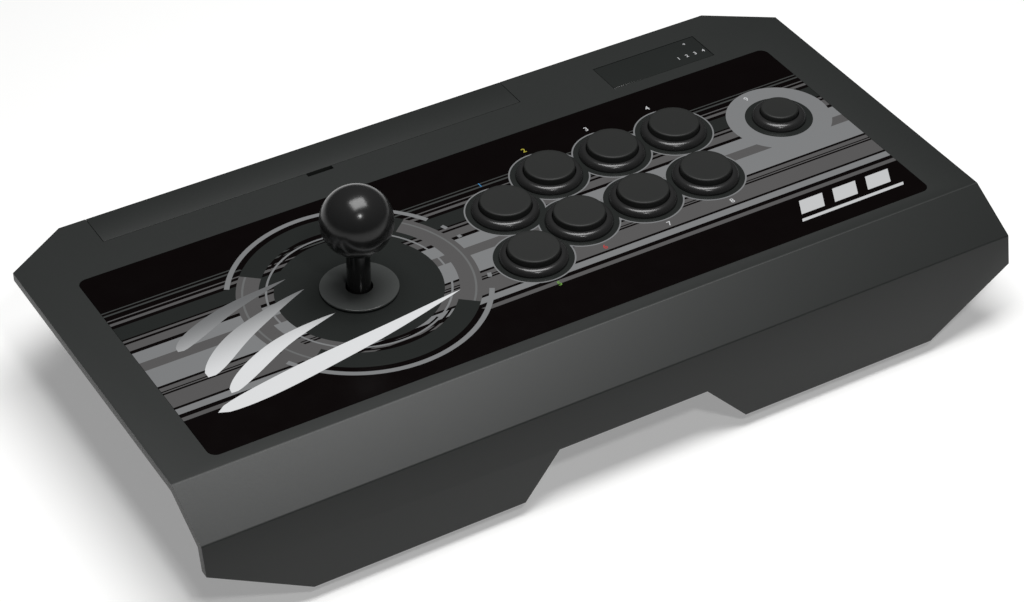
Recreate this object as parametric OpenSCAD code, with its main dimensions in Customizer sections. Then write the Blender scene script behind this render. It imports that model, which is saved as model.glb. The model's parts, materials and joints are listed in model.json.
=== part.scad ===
// Arcade joystick panel: a desk-top case with a ball-top lever and nine push buttons.
// Millimetres, +Z up. The origin is on the ground, under the middle of the whole object's box.
// Plan positions in the sections below are measured from the middle of the case and from its rear
// edge, so y is negative towards the player. Heights named "below the top" hang from the flat top.

/* [Case] */
// Width of the top shell, side to side
case_w = 430; // [400:1:520]
// Height of the flat top above the ground
case_h = 62; // [60:0.5:80]
// Depth of the flat top, rear edge to first fold
top_d = 192.5; // [190:0.5:240]
// Forward run of the palm slope
slope_run = 26.8; // [20:0.1:40]
// Drop of the palm slope
slope_drop = 14.7; // [10:0.1:18]
// Height of the front skirt below the slope
skirt_h = 40.2; // [32:0.1:40.2]
// Forward lean of the front skirt in degrees
skirt_lean = 10.6; // [0:0.1:18]
// Wall of the top shell
shell_t = 4.4; // [3.8:0.1:5.4]
// Width of the cut across each rear corner
rear_cut_w = 32.4; // [10:0.1:50]
// Depth of the cut across each rear corner
rear_cut_d = 21.3; // [10:0.1:30]
// Width of the cut across each lower front corner
low_cut_w = 48; // [20:0.5:60]
// Height of the cut across each lower front corner
low_cut_h = 25.1; // [10:0.1:30]
// Width of the skirt's notch at its lower edge
notch_w = 119.6; // [80:0.1:160]
// Width of the skirt's notch at its top
notch_top_w = 79.6; // [40:0.1:79.6]
// Height of the skirt's notch
notch_h = 19.9; // [10:0.1:24]
// Overhang of the top shell past each side of the lower case, at its top
side_overhang = 6; // [4:0.5:10]
// How far each side of the lower case runs inwards on its way down
side_taper = 37; // [30:0.5:42]
// Overhang of the top shell past the rear of the lower case
rear_overhang = 1; // [0.5:0.1:3]
// Overhang of the skirt's foot past the front of the lower case
front_overhang = 31; // [28:0.5:33]
// Wall of the lower case
wall_t = 3; // [2.4:0.1:4]
// Floor of the lower case
floor_t = 2; // [1.6:0.1:2.4]
// Thickness of the steel base plate
base_t = 1.5; // [1:0.1:2.5]
// Height of the rubber feet
foot_h = 4.5; // [3.5:0.1:6]
// Diameter of the rubber feet
foot_d = 22; // [16:0.5:28]
// Diameter of the screw posts
post_d = 9; // [8:0.5:9]
// Height above the base plate where case post and shell post meet
post_split = 24; // [15:0.5:30]
// Diameter of the long case screws
case_screw_d = 3.6; // [3:0.1:4]

/* [Control panel] */
// Width of the control panel
panel_w = 385; // [360:1:385]
// Depth of the control panel
panel_d = 142.1; // [135:0.1:142.1]
// Distance from the rear edge of the case to the control panel
panel_rear = 42.9; // [42.9:0.1:46]
// Corner radius of the control panel
panel_r = 4.5; // [2:0.1:8]
// Thickness of the printed face sheet
sheet_t = 1; // [0.6:0.1:1.2]
// Thickness of the steel panel plate
plate_t = 1.5; // [1:0.1:1.8]
// Width of the ledge that carries the panel
ledge_w = 6; // [4:0.5:7]
// Gap round parts that drop into the shell
fit_gap = 0.3; // [0.2:0.05:0.5]

/* [Lever] */
// Lever position
lever_at = [-82, -113.8]; // [-200:0.1:200]
// Diameter of the ball top
ball_d = 34.4; // [30:0.1:40]
// Height of the ball's centre above the top
ball_rise = 39; // [35:0.5:50]
// Depth of the pivot's centre below the top
pivot_depth = 21; // [20:0.5:23]
// Diameter of the lever's steel shaft
shaft_d = 9.4; // [8:0.1:11.2]
// Wall of the plastic sleeve on the shaft
sleeve_t = 0.9; // [0.7:0.1:1.3]
// Largest tilt of the lever in degrees
lever_tilt = 8; // [5:0.5:9]
// Diameter of the lever's hole in the panel
lever_hole_d = 24; // [23.5:0.5:26]
// Diameter of the dust washer
washer_d = 37.2; // [35:0.1:42]
// Thickness of the dust washer
washer_t = 1; // [0.6:0.1:1.2]
// Radial gap between the sleeve and the dust washer's hole
washer_gap = 0.75; // [0.6:0.05:1.1]
// Thickness of the slip washer under the dust washer
slip_t = 0.5; // [0.4:0.1:0.6]
// Diameter of the slotted pivot ball
pivot_ball_d = 22; // [20:0.5:24]
// Diameter of the cross pin through the shaft
cross_pin_d = 3; // [2:0.1:4]
// Diameter of the two trunnion pins
trunnion_d = 6; // [4:0.1:7]
// Radial clearance of the pins in their bearings
bearing_gap = 0.05; // [0.02:0.01:0.1]
// Width and depth of the lever housing
housing_size = [62, 56]; // [54:0.5:70]
// Height of the lever housing
housing_h = 30.5; // [29:0.5:32]

/* [Buttons] */
// Centre of the first button of the rear row
row_start = [6.7, -96.1]; // [-150:0.1:150]
// Diameter of the large buttons' holes
button_hole_d = 30; // [25:0.5:32]
// Overlap of a button's rim on the panel round its hole
rim_lip = 1.5; // [1:0.1:1.6]
// Distance of a large plunger's side from the edge of its hole
cap_inset = 2.4; // [2.2:0.1:4]
// Height of the large plungers above the top
button_cap_h = 6.7; // [6.3:0.1:7.5]
// Centre of the small button
small_at = [164, -98]; // [-180:0.1:180]
// Diameter of the small button's hole
small_hole_d = 24; // [20:0.5:26]
// Distance of the small plunger's side from the edge of its hole
small_cap_inset = 2.6; // [2.3:0.1:4]
// Height of the small plunger above the top
small_cap_h = 6.2; // [6:0.1:7]
// Height of a button's rim
rim_h = 3.6; // [3:0.1:4]
// Depth of a button housing below the top
barrel_h = 24; // [22:0.5:26]
// Travel of a button
button_travel = 2.6; // [2:0.1:2.8]

/* [Rear lid] */
// Distance from the middle of the case to the lid's left end
lid_left = 168.6; // [150:0.1:170]
// Length of the lid
lid_w = 228.3; // [200:0.1:232]
// Depth of the lid
lid_d = 20.4; // [19:0.1:21]
// Thickness of the lid
lid_t = 2.6; // [2:0.1:3]
// Height of the flange along the lid's rear edge
flange_h = 9.4; // [8:0.1:9.8]
// Distance of the hinge axis from the lid's rear and top faces
hinge_inset = 3.5; // [3.2:0.1:3.8]
// Diameter of the hinge pins
hinge_pin_d = 2; // [1.6:0.1:2.4]
// Depth of the control tray's floor below the top
tray_depth = 13.9; // [13:0.1:16.7]
// Width of the finger slot
finger_w = 14; // [10:0.5:20]
// Front-to-rear size of the finger slot
finger_d = 2.7; // [2:0.1:3]
// Travel of the keys in the tray
key_travel = 1; // [0.6:0.1:1.2]
// Travel of the slide switches in the tray
slider_travel = 4; // [3:0.1:5]

/* [Status window] */
// Left end of the window, from the middle of the case
window_left = 107; // [100:0.1:110]
// Distance from the rear edge to the window
window_rear = 14.5; // [14:0.1:18]
// Width of the window
window_w = 60.3; // [50:0.1:64]
// Depth of the window
window_d = 20; // [16:0.1:20]
// Thickness of the window
window_t = 1.4; // [1:0.1:2]

/* [Hidden] */
lean_run = skirt_h * tan(skirt_lean);
case_d = top_d + slope_run + lean_run;
rear_y = case_d / 2;
half_w = case_w / 2;
base_z = foot_h + base_t;
inner_z = base_z + floor_t;
plate_top = case_h - sheet_t;
panel_under = plate_top - plate_t;
panel_mid_y = -panel_rear - panel_d / 2;
sleeve_d = shaft_d + 2 * sleeve_t;
washer_hole_d = sleeve_d + 2 * washer_gap;
button_rim_d = button_hole_d + 2 * rim_lip;
button_cap_d = button_hole_d - 2 * cap_inset;
small_rim_d = small_hole_d + 2 * rim_lip;
small_cap_d = small_hole_d - 2 * small_cap_inset;
large_button_step = 36;
// Steps from the first button: along the rear row, then along the front row
button_steps = [[0, 0], [33, 14], [33 + large_button_step, 14], [33 + 2 * large_button_step, 14],
                [-7, -38], [26, -25], [26 + large_button_step, -25], [26 + 2 * large_button_step, -25]];
button_at = [for (s = button_steps) row_start + s];
LARGE = [1:8];
// Keys and slide switches of the tray, from the middle of the lid
key_x = [-98, -70, -42, -14];
slider_x = [48, 72];
// Middle of the main board
board_at = [118, -98];
hinge_boss_w = 6;
screw_reach = 14;
panel_screw_d = 3;
window_ledge = 2;
post_gap = 3.1;
lever_screw_d = 3;
LEVER_FN = 64;
$fn = 48;

// ---- Shared shapes ----

// Slab with round corners, centred in plan, standing on z = 0
module round_slab(w, d, h, r) {
    union() {
        translate([-w / 2 + r, -d / 2, 0]) cube([w - 2 * r, d, h]);
        translate([-w / 2, -d / 2 + r, 0]) cube([w, d - 2 * r, h]);
        for (sx = [-1, 1], sy = [-1, 1])
            translate([sx * (w / 2 - r), sy * (d / 2 - r), 0]) cylinder(r = r, h = h);
    }
}

// Tube standing on z = 0
module tube(outer_d, inner_d, h) {
    difference() {
        cylinder(d = outer_d, h = h);
        translate([0, 0, -1]) cylinder(d = inner_d, h = h + 2);
    }
}

// Pan-head screw: head under z = 0, thread above it
module screw(d, length, head_d, head_h) {
    union() {
        translate([0, 0, -head_h]) cylinder(d = head_d, h = head_h);
        cylinder(d = d, h = length);
    }
}

// Frame of the plan measures: middle of the case, rear edge
module from_rear() translate([0, rear_y, 0]) children();

// Frame of the lever: its axis, pivot centre at z = 0
module at_lever() from_rear() translate([lever_at.x, lever_at.y, case_h - pivot_depth]) children();

// Frame of the rear lid: its left end, rear edge, flat top at z = 0
module at_lid() from_rear() translate([-lid_left, 0, case_h]) children();

// ---- Case ----

// Corner of a wall whose outer corner is p, between directions a and b, set in by t
function inner_corner(p, a, b, t) =
    let (na = [a.y, -a.x] / norm(a), nb = [b.y, -b.x] / norm(b)) p - (na + nb) * t / (1 + na * nb);

skirt_foot = [-case_d, -slope_drop - skirt_h];
fold_1 = [-top_d, 0];
fold_2 = [-top_d - slope_run, -slope_drop];
inner_1 = inner_corner(fold_1, fold_1, fold_2 - fold_1, shell_t);
inner_2 = inner_corner(fold_2, fold_2 - fold_1, skirt_foot - fold_2, shell_t);
inner_foot = skirt_foot + [shell_t / cos(skirt_lean), 0];

// Solid whose side view is the given outline of [y, z] points below the flat top
module side_view(points, w) {
    translate([-w / 2, 0, case_h]) rotate([90, 0, 90]) linear_extrude(w) polygon(points);
}

// Plan of the case with cut rear corners, set in from the sides, rear and front
module case_plan(side, rear, front, h) {
    w = half_w - side;
    d = case_d - front;
    linear_extrude(h) polygon([[-w, -d], [w, -d], [w, -rear - rear_cut_d], [w - rear_cut_w, -rear],
                               [rear_cut_w - w, -rear], [-w, -rear - rear_cut_d]]);
}

// Front view of the top shell: cut lower corners and the notch in the skirt
module front_view() {
    foot = skirt_foot.y;
    translate([0, 1, case_h]) rotate([90, 0, 0]) linear_extrude(case_d + 2) polygon([
        [-half_w, 1], [-half_w, foot + low_cut_h], [low_cut_w - half_w, foot],
        [-notch_w / 2, foot], [-notch_top_w / 2, foot + notch_h],
        [notch_top_w / 2, foot + notch_h], [notch_w / 2, foot],
        [half_w - low_cut_w, foot], [half_w, foot + low_cut_h], [half_w, 1]]);
}

foot_half_w = half_w - side_overhang - side_taper;
post_rows = [-window_rear - window_d - post_gap, front_overhang - case_d + wall_t + post_d];
post_columns = [foot_half_w - 12, 68];
module at_posts() {
    for (y = post_rows, x = post_columns, s = [-1, 1]) translate([s * x, y, 0]) children();
}
post_meet = base_z + post_split;

module top_shell() {
    color("#3a3b3a") from_rear() difference() {
        union() {
            intersection() {
                side_view([[0, 0], fold_1, fold_2, skirt_foot, inner_foot, inner_2, inner_1,
                           [0, -shell_t]], case_w);
                translate([0, 0, -1]) case_plan(0, 0, 0, case_h + 2);
                front_view();
            }
            at_posts() translate([0, 0, post_meet]) cylinder(d = post_d, h = case_h - 3 - post_meet);
            for (x = [-lid_left - hinge_boss_w - fit_gap, lid_w - lid_left + fit_gap])
                translate([x, -2 * hinge_inset, case_h - 2 * hinge_inset])
                    cube([hinge_boss_w, 2 * hinge_inset - 0.5, 2 * hinge_inset - 1]);
        }
        at_posts() translate([0, 0, post_meet - 1]) cylinder(d = case_screw_d, h = screw_reach + 1);
        translate([0, panel_mid_y, panel_under])
            round_slab(panel_w + fit_gap, panel_d + fit_gap, 5, panel_r);
        translate([0, panel_mid_y, 0])
            round_slab(panel_w - 2 * ledge_w, panel_d - 2 * ledge_w, case_h, panel_r);
        for (x = panel_screw_x, y = panel_screw_y) translate([x, panel_mid_y + y, 0])
            cylinder(d = panel_screw_d + 0.4, h = case_h);
        translate([-lid_left - fit_gap, -lid_d - fit_gap, case_h - shell_t - 1])
            cube([lid_w + 2 * fit_gap, lid_d + 2, shell_t + 2]);
        translate([lid_w / 2 - lid_left - finger_w / 2, -lid_d - fit_gap - finger_d, case_h - 3])
            cube([finger_w, finger_d + 1, 4]);
        translate([-lid_left, -hinge_inset, case_h - hinge_inset]) rotate([0, 90, 0])
            translate([0, 0, -hinge_boss_w]) cylinder(d = hinge_pin_d, h = lid_w + 2 * hinge_boss_w);
        translate([window_left - fit_gap, -window_rear - window_d - fit_gap, case_h - window_t])
            cube([window_w + 2 * fit_gap, window_d + 2 * fit_gap, 5]);
        translate([window_left + window_ledge, -window_rear - window_d + window_ledge,
                   case_h - 2 * shell_t])
            cube([window_w - 2 * window_ledge, window_d - 2 * window_ledge, 3 * shell_t]);
    }
}

// Front view of the lower case, in from its tapered sides by t
module tapered_sides(t) {
    top = foot_half_w + side_taper - t;
    low = foot_half_w - t;
    translate([0, 1, 0]) rotate([90, 0, 0]) linear_extrude(case_d + 2)
        polygon([[-low, base_z], [low, base_z], [top, case_h - shell_t], [top, case_h],
                 [-top, case_h], [-top, case_h - shell_t]]);
}
side_wall_t = wall_t * norm([side_taper, case_h - shell_t - base_z]) / (case_h - shell_t - base_z);

module lower_case() {
    color("#262626") from_rear() difference() {
        union() {
            intersection() {
                side_view([[0, -shell_t], inner_1, inner_2, inner_foot, [inner_foot.x, base_z - case_h],
                           [0, base_z - case_h]], case_w);
                tapered_sides(0);
                difference() {
                    case_plan(side_overhang, rear_overhang, front_overhang, case_h);
                    intersection() {
                        translate([0, 0, inner_z])
                            case_plan(side_overhang + wall_t, rear_overhang + wall_t,
                                      front_overhang + wall_t, case_h);
                        tapered_sides(side_wall_t);
                    }
                }
            }
            at_posts() translate([0, 0, base_z]) cylinder(d = post_d, h = post_meet - base_z);
            translate([gland_x, -rear_overhang - wall_t, gland_z]) rotate([90, 0, 0])
                cylinder(d = gland_d + 5, h = gland_boss_t);
        }
        at_posts() translate([0, 0, base_z - 1]) cylinder(d = case_screw_d, h = case_h);
        at_board() for (p = board_posts) translate([p.x, p.y, base_z - 1])
            cylinder(d = board_screw_d, h = floor_t + 2);
        translate([gland_x, 1, gland_z]) rotate([90, 0, 0]) cylinder(d = gland_d, h = 12);
        translate([-lid_left - fit_gap, -rear_overhang - wall_t - 1, case_h - lid_sweep])
            cube([lid_w + 2 * fit_gap, wall_t + 3, lid_sweep + 1]);
        translate([-lid_left - hinge_boss_w - fit_gap, -rear_overhang - wall_t - 1,
                   case_h - 2 * hinge_inset])
            cube([lid_w + 2 * (hinge_boss_w + fit_gap), wall_t + 3, 2 * hinge_inset]);
    }
}
gland_x = 150;
gland_z = 30;
gland_d = 10;
gland_boss_t = 3;
gland_lip_t = 2;
cord_hole_d = 5.4;

module base_plate() {
    color("#2b2b2c") from_rear() difference() {
        intersection() {
            translate([0, 0, foot_h]) case_plan(side_overhang, rear_overhang, front_overhang, base_t);
            translate([-foot_half_w, -case_d, 0]) cube([2 * foot_half_w, case_d, case_h]);
        }
        at_posts() translate([0, 0, foot_h - 1]) cylinder(d = case_screw_d + 0.6, h = base_t + 2);
        at_board() for (p = board_posts) translate([p.x, p.y, foot_h - 1])
            cylinder(d = board_screw_d, h = base_t + 2);
    }
}

foot_shift = (post_d + foot_d) / 2 + 2;
foot_rows = [post_rows[0] - foot_shift, post_rows[1] + foot_shift];
foot_column = foot_half_w - foot_d / 2 - 5;
foot_edge = 1.5;
module feet() {
    color("#1b1b1b") from_rear()
        for (y = foot_rows, x = [-foot_column, 0, foot_column])
            translate([x, y, 0]) rotate_extrude()
                polygon([[0, 0], [foot_d / 2 - foot_edge, 0], [foot_d / 2, foot_edge],
                         [foot_d / 2, foot_h], [0, foot_h]]);
}

module case_screws() {
    color("#8d8d8d") from_rear() at_posts() translate([0, 0, foot_h])
        screw(case_screw_d, post_meet + screw_reach - 1 - foot_h, 2 * case_screw_d - 0.2, 2.2);
}

// Rubber bush in the rear wall, with the cord's bore through it
module cable_gland() {
    neck = rear_overhang + wall_t + gland_boss_t;
    color("#1c1c1c") from_rear() translate([gland_x, 0, gland_z]) rotate([90, 0, 0]) difference() {
        union() {
            cylinder(d = gland_d + 3, h = rear_overhang);
            cylinder(d = gland_d, h = neck);
            translate([0, 0, neck]) cylinder(d = gland_d + 2, h = gland_lip_t);
        }
        translate([0, 0, -1]) cylinder(d = cord_hole_d, h = neck + gland_lip_t + 2);
    }
}

// ---- Control panel ----

// Every hole that the sheet and the plate share
module control_holes() {
    translate([0, 0, -1]) {
        for (p = button_at) translate([p.x, p.y, 0]) cylinder(d = button_hole_d, h = case_h + 2);
        translate([small_at.x, small_at.y, 0]) cylinder(d = small_hole_d, h = case_h + 2);
        translate([lever_at.x, lever_at.y, 0]) cylinder(d = lever_hole_d, h = case_h + 2);
    }
}

panel_screw_x = [-panel_w / 2 + ledge_w / 2, panel_w / 2 - ledge_w / 2];
panel_screw_y = [-panel_d / 2 + 12, panel_d / 2 - 12];

module face_sheet() {
    color("#0b0a0a") from_rear() difference() {
        translate([0, panel_mid_y, plate_top]) round_slab(panel_w, panel_d, sheet_t, panel_r);
        control_holes();
    }
}

module panel_plate() {
    color("#6d6f70") from_rear() difference() {
        translate([0, panel_mid_y, panel_under]) round_slab(panel_w, panel_d, plate_t, panel_r);
        control_holes();
        at_bracket_holes() translate([0, 0, panel_under - 1])
            cylinder(d = bracket_screw_d, h = plate_t + 2);
        for (x = panel_screw_x, y = panel_screw_y) translate([x, panel_mid_y + y, panel_under - 1])
            cylinder(d = panel_screw_d, h = plate_t + 2);
    }
}

module panel_screws() {
    color("#9a9a9a") from_rear() {
        for (x = panel_screw_x, y = panel_screw_y)
            translate([x, panel_mid_y + y, case_h - shell_t])
                screw(panel_screw_d, shell_t - sheet_t, 5.4, 2);
    }
}

// ---- Electronics ----

board_size = [96, 54];
board_z = inner_z + 4;
board_t = 1.6;
board_screw_d = 2.5;
board_posts = [for (sx = [-1, 1], sy = [-1, 1])
               [sx * (board_size.x / 2 - 4), sy * (board_size.y / 2 - 4)]];
connector = [12, 5, 6];
connector_x = [-32, -16, 20];
long_connector = [24, 5, 6];
controller_chip = [14, 14, 1.8];
memory_chip = [9, 6, 1.6];
module at_board() translate([board_at.x, board_at.y, 0]) children();

module main_board() {
    color("#1d5a38") from_rear() at_board() difference() {
        union() {
            translate([-board_size.x / 2, -board_size.y / 2, board_z])
                cube([board_size.x, board_size.y, board_t]);
            translate([0, 0, board_z + board_t]) {
                translate([-8, -6, 0]) cube(controller_chip);
                translate([18, -9, 0]) cube(memory_chip);
                for (x = connector_x) translate([x, board_size.y / 2 - connector.y - 2, 0]) cube(connector);
                translate([-30, -board_size.y / 2 + 2, 0]) cube(long_connector);
                translate([36, 0, 0]) cylinder(d = 6, h = 7);
            }
        }
        for (p = board_posts) translate([p.x, p.y, board_z - 1])
            cylinder(d = board_screw_d + 0.5, h = board_t + 2);
    }
}

// Spacers between base plate and board, each with its screw from below
module board_spacers() {
    color("#b9a25a") from_rear() at_board() for (p = board_posts) translate([p.x, p.y, 0]) union() {
        translate([0, 0, inner_z]) cylinder(d = 5, h = board_z - inner_z);
        translate([0, 0, foot_h - 1.4]) cylinder(d = 4.6, h = 1.4);
        translate([0, 0, foot_h]) cylinder(d = board_screw_d, h = base_t + floor_t);
        translate([0, 0, board_z]) cylinder(d = board_screw_d, h = board_t + 2);
    }
}

lamp_x = [43, 48, 53, 58];
lamp_y = window_d / 2 + 2.2;
led_board_z = case_h - 2 * shell_t;
module led_board() {
    color("#1d5a38") from_rear() translate([window_left, -window_rear, 0]) union() {
        translate([lamp_x[0] - 8, -window_d + 2, led_board_z - board_t]) cube([32, window_d, board_t]);
        for (x = lamp_x) translate([x, -lamp_y, led_board_z]) cylinder(d = 3, h = 2.6);
        for (x = [lamp_x[0] - 7, lamp_x[3] + 5]) translate([x, -1, led_board_z])
            cube([3, 3, case_h - shell_t - led_board_z]);
    }
}

module status_window() {
    color("#191b1a") from_rear() translate([window_left, -window_rear - window_d, case_h - window_t])
        cube([window_w, window_d, window_t]);
}

// Flat cables on the floor: lever to board, with its riser, and cord inlet to board
wire_z = inner_z + 0.2;
cable_t = 1;
lever_cable_w = 8;
cord_cable_w = 5;
module wiring() {
    start = [lever_at.x - lever_cable_w / 2, lever_at.y - 36];
    turn = [board_at.x - 22, board_at.y - board_size.y / 2 - 6.8];
    cord_end = board_at.y + board_size.y / 2 + 5;
    color("#3c4a66") from_rear() translate([0, 0, wire_z]) {
        union() {
            translate([start.x, start.y, 0]) cube([turn.x - start.x, lever_cable_w, cable_t]);
            translate([turn.x - lever_cable_w, start.y, 0])
                cube([lever_cable_w, turn.y - start.y, cable_t]);
            translate([start.x, start.y, 0])
                cube([lever_cable_w, cable_t, case_h - pivot_depth + lever_board_low - wire_z]);
        }
        translate([gland_x - 20, cord_end, 0])
            cube([cord_cable_w, -cord_end - rear_overhang - wall_t - 10, cable_t]);
    }
}

// ---- Rear lid and its tray ----

hinge_r = sqrt(pow(hinge_inset, 2) + pow(flange_h - hinge_inset, 2));
lid_sweep = hinge_inset + hinge_r + 0.35;
barrel_d = 4.6;
flange_t = 2.5;
pin_reach = 7;

// Frame of the lid's hinge axis, x from the lid's left end
module at_hinge(x) translate([x, -hinge_inset, -hinge_inset]) rotate([0, 90, 0]) children();

module rear_lid() {
    color("#3a3b3a") at_lid() difference() {
        union() {
            translate([0, -lid_d, -lid_t]) cube([lid_w, lid_d, lid_t]);
            translate([0, -flange_t, -flange_h]) cube([lid_w, flange_t, flange_h]);
            at_hinge(0) cylinder(d = barrel_d, h = lid_w);
        }
        for (x = [-1, lid_w - pin_reach - 1]) at_hinge(x)
            cylinder(d = hinge_pin_d + 2 * bearing_gap, h = pin_reach + 2);
    }
}

module lid_pins() {
    color("#a5a5a5") at_lid() for (x = [-hinge_boss_w, lid_w - pin_reach]) at_hinge(x)
        cylinder(d = hinge_pin_d, h = hinge_boss_w + pin_reach);
}

tray_wall = 1.5;
tray_front = lid_d + fit_gap + finger_d + 0.5;
tray_rear = rear_overhang + wall_t;
key_y = -13;
key_d = 7.8;
key_flange = [10, 1.2];
knob = [6, 4];
knob_flange = [9, 8, 1.2];
module control_tray() {
    low = -tray_depth - tray_wall;
    color("#303130") at_lid() difference() {
        translate([0, -tray_front, low]) cube([lid_w, tray_front - tray_rear, -low - shell_t]);
        translate([tray_wall, -tray_front + tray_wall, -tray_depth])
            cube([lid_w - 2 * tray_wall, tray_front - tray_rear - 2 * tray_wall, tray_depth + 1]);
        translate([-1, -hinge_inset - hinge_r - 0.5, -lid_sweep]) cube([lid_w + 2, 30, lid_sweep + 1]);
        for (x = key_x) translate([lid_w / 2 + x, key_y, low - 1])
            cylinder(d = key_d + 2 * fit_gap, h = tray_wall + 2);
        for (x = slider_x) translate([lid_w / 2 + x - 5 - fit_gap, key_y - knob.y / 2 - fit_gap, low - 1])
            cube([knob.x + slider_travel + 2 * fit_gap, knob.y + 2 * fit_gap, tray_wall + 2]);
    }
}

// Round key of the tray, held by a flange below the tray's floor
module tray_key(i) {
    under = -tray_depth - tray_wall - 0.2;
    color("#4a4b4a") at_lid() translate([lid_w / 2 + key_x[i - 1], key_y, under]) union() {
        cylinder(d = key_d, h = tray_wall + 3);
        translate([0, 0, -key_flange[1]]) cylinder(d = key_flange[0], h = key_flange[1]);
    }
}

// Knob of a slide switch, moving to the right
module tray_slider(i) {
    under = -tray_depth - tray_wall - 0.2;
    color("#4a4b4a") at_lid() translate([lid_w / 2 + slider_x[i - 1] - 5, key_y, under]) union() {
        translate([0, -knob.y / 2, 0]) cube([knob.x, knob.y, tray_wall + 2.2]);
        translate([(knob.x - knob_flange.x) / 2, -knob_flange.y / 2, -knob_flange.z]) cube(knob_flange);
    }
}

module key_board() {
    top = -tray_depth - tray_wall - 0.4 - key_flange[1] - key_travel;
    color("#1d5a38") at_lid() union() {
        translate([4, -tray_front + 1, top - board_t])
            cube([lid_w - 8, tray_front - tray_rear - 2, board_t]);
        for (x = [6, lid_w - 10]) translate([x, -tray_front + 1.5, top])
            cube([4, 4, -tray_depth - tray_wall - top]);
        for (x = key_x) translate([lid_w / 2 + x - 3, key_y - 3, top - board_t - 2]) cube([6, 6, 2]);
    }
}

// ---- Lever ----

bracket_t = 2;
bracket_size = [95, 53];
bracket_screw_d = 4;
housing_top = pivot_depth - (case_h - panel_under) - bracket_t;
housing_low = housing_top - housing_h;
housing_bore_d = 30;
throat_d = 21;
lever_board_low = housing_low - board_t;
switch_l = 19.8;
switch_w = 6.4;
switch_h = 10;
gate_top = lever_board_low - switch_h;
gate_t = 2;
actuator_top = lever_board_low - 2;
shaft_low_d = 7;
shaft_low = gate_top - gate_t - 4;
actuator_d = 14;
actuator_low_d = 12;
gate_half = actuator_low_d / 2 + (-gate_top + gate_t) * tan(lever_tilt) + 0.4;
switch_reach = actuator_d / 2 + (-lever_board_low + 2) * tan(lever_tilt) + 2.4;
gate_size = 58;
housing_screw_at = [[-25, -22], [25, -22], [-25, 22], [25, 22]];
switch_turns = [0, 90, 180, 270];

module at_bracket_holes() {
    translate([lever_at.x, lever_at.y, 0])
        for (sx = [-1, 1], sy = [-1, 1])
            translate([sx * (bracket_size.x / 2 - 6), sy * (bracket_size.y / 2 - 7), 0]) children();
}

module lever_bracket() {
    color("#8b8f92") at_lever() difference() {
        translate([0, 0, housing_top]) round_slab(bracket_size.x, bracket_size.y, bracket_t, 4);
        translate([0, 0, housing_top - 1]) cylinder(d = throat_d + 1, h = bracket_t + 2);
        translate([-lever_at.x, -lever_at.y, 0]) at_bracket_holes() translate([0, 0, housing_top - 1])
            cylinder(d = bracket_screw_d, h = bracket_t + 2);
        for (p = housing_screw_at) translate([p.x, p.y, housing_top - 1])
            cylinder(d = lever_screw_d, h = bracket_t + 2);
    }
}

module lever_housing() {
    trunnion_bore = trunnion_d + 2 * bearing_gap;
    color("#1f1f20") at_lever() difference() {
        translate([0, 0, housing_low]) round_slab(housing_size.x, housing_size.y, housing_h, 5);
        translate([0, 0, housing_low - 1])
            cylinder(d = housing_bore_d, h = pivot_ball_d / 2 + 2.5 - housing_low);
        cylinder(d = throat_d, h = housing_top + 1);
        translate([0, housing_size.y, 0]) rotate([90, 0, 0])
            cylinder(d = trunnion_bore, h = 2 * housing_size.y);
        for (p = housing_screw_at) translate([p.x, p.y, housing_low - 1])
            cylinder(d = lever_screw_d, h = housing_h + 2);
    }
}

// Screws of the lever: four up through gate, board and housing, four into the panel plate
module lever_screws() {
    color("#a9a9a9") at_lever() {
        for (p = housing_screw_at) translate([p.x, p.y, gate_top - gate_t])
            screw(lever_screw_d, housing_top + bracket_t - gate_top + gate_t, 5.6, 2);
        translate([-lever_at.x, -lever_at.y, 0]) at_bracket_holes() translate([0, 0, housing_top])
            screw(bracket_screw_d, bracket_t + plate_t, 7, 2.4);
    }
}

module pivot_ball() {
    slot_l = shaft_d / cos(lever_tilt) + pivot_ball_d * tan(lever_tilt) + 1;
    color("#d8d6cf") at_lever() difference() {
        sphere(d = pivot_ball_d, $fn = LEVER_FN);
        translate([-shaft_d / 2 - 0.15, -slot_l / 2, -pivot_ball_d])
            cube([shaft_d + 0.3, slot_l, 2 * pivot_ball_d]);
        translate([-pivot_ball_d, 0, 0]) rotate([0, 90, 0])
            cylinder(d = cross_pin_d, h = 2 * pivot_ball_d);
        translate([0, pivot_ball_d, 0]) rotate([90, 0, 0])
            cylinder(d = trunnion_d, h = 2 * pivot_ball_d);
    }
}

module trunnion_pins() {
    inner = pivot_ball_d / 2 - 2.6;
    color("#b4b4b4") at_lever() for (s = [-1, 1]) rotate([-90 * s, 0, 0])
        translate([0, 0, inner]) cylinder(d = trunnion_d, h = housing_size.y / 2 - 1 - inner);
}

module cross_pin() {
    color("#b4b4b4") at_lever() translate([-pivot_ball_d / 2 + 1, 0, 0]) rotate([0, 90, 0])
        cylinder(d = cross_pin_d, h = pivot_ball_d - 2);
}

stud_d = 6;
stud_h = 14;
stud_low = pivot_depth + ball_rise - ball_d / 2 + 4;
shoulder_depth = 7;
clip_groove_z = shaft_low + 2;
clip_groove_d = 5.4;
clip_t = 0.9;
module lever_shaft() {
    color("#c2c4c6") at_lever() difference() {
        union() {
            translate([0, 0, shaft_low]) cylinder(d = shaft_low_d, h = -shaft_low - shoulder_depth);
            translate([0, 0, -shoulder_depth]) cylinder(d = shaft_d, h = stud_low + shoulder_depth);
            translate([0, 0, stud_low]) cylinder(d = stud_d, h = stud_h);
        }
        translate([-shaft_d, 0, 0]) rotate([0, 90, 0])
            cylinder(d = cross_pin_d + 2 * bearing_gap, h = 2 * shaft_d);
        translate([0, 0, clip_groove_z]) tube(shaft_d + 2, clip_groove_d, clip_t);
    }
}

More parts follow.
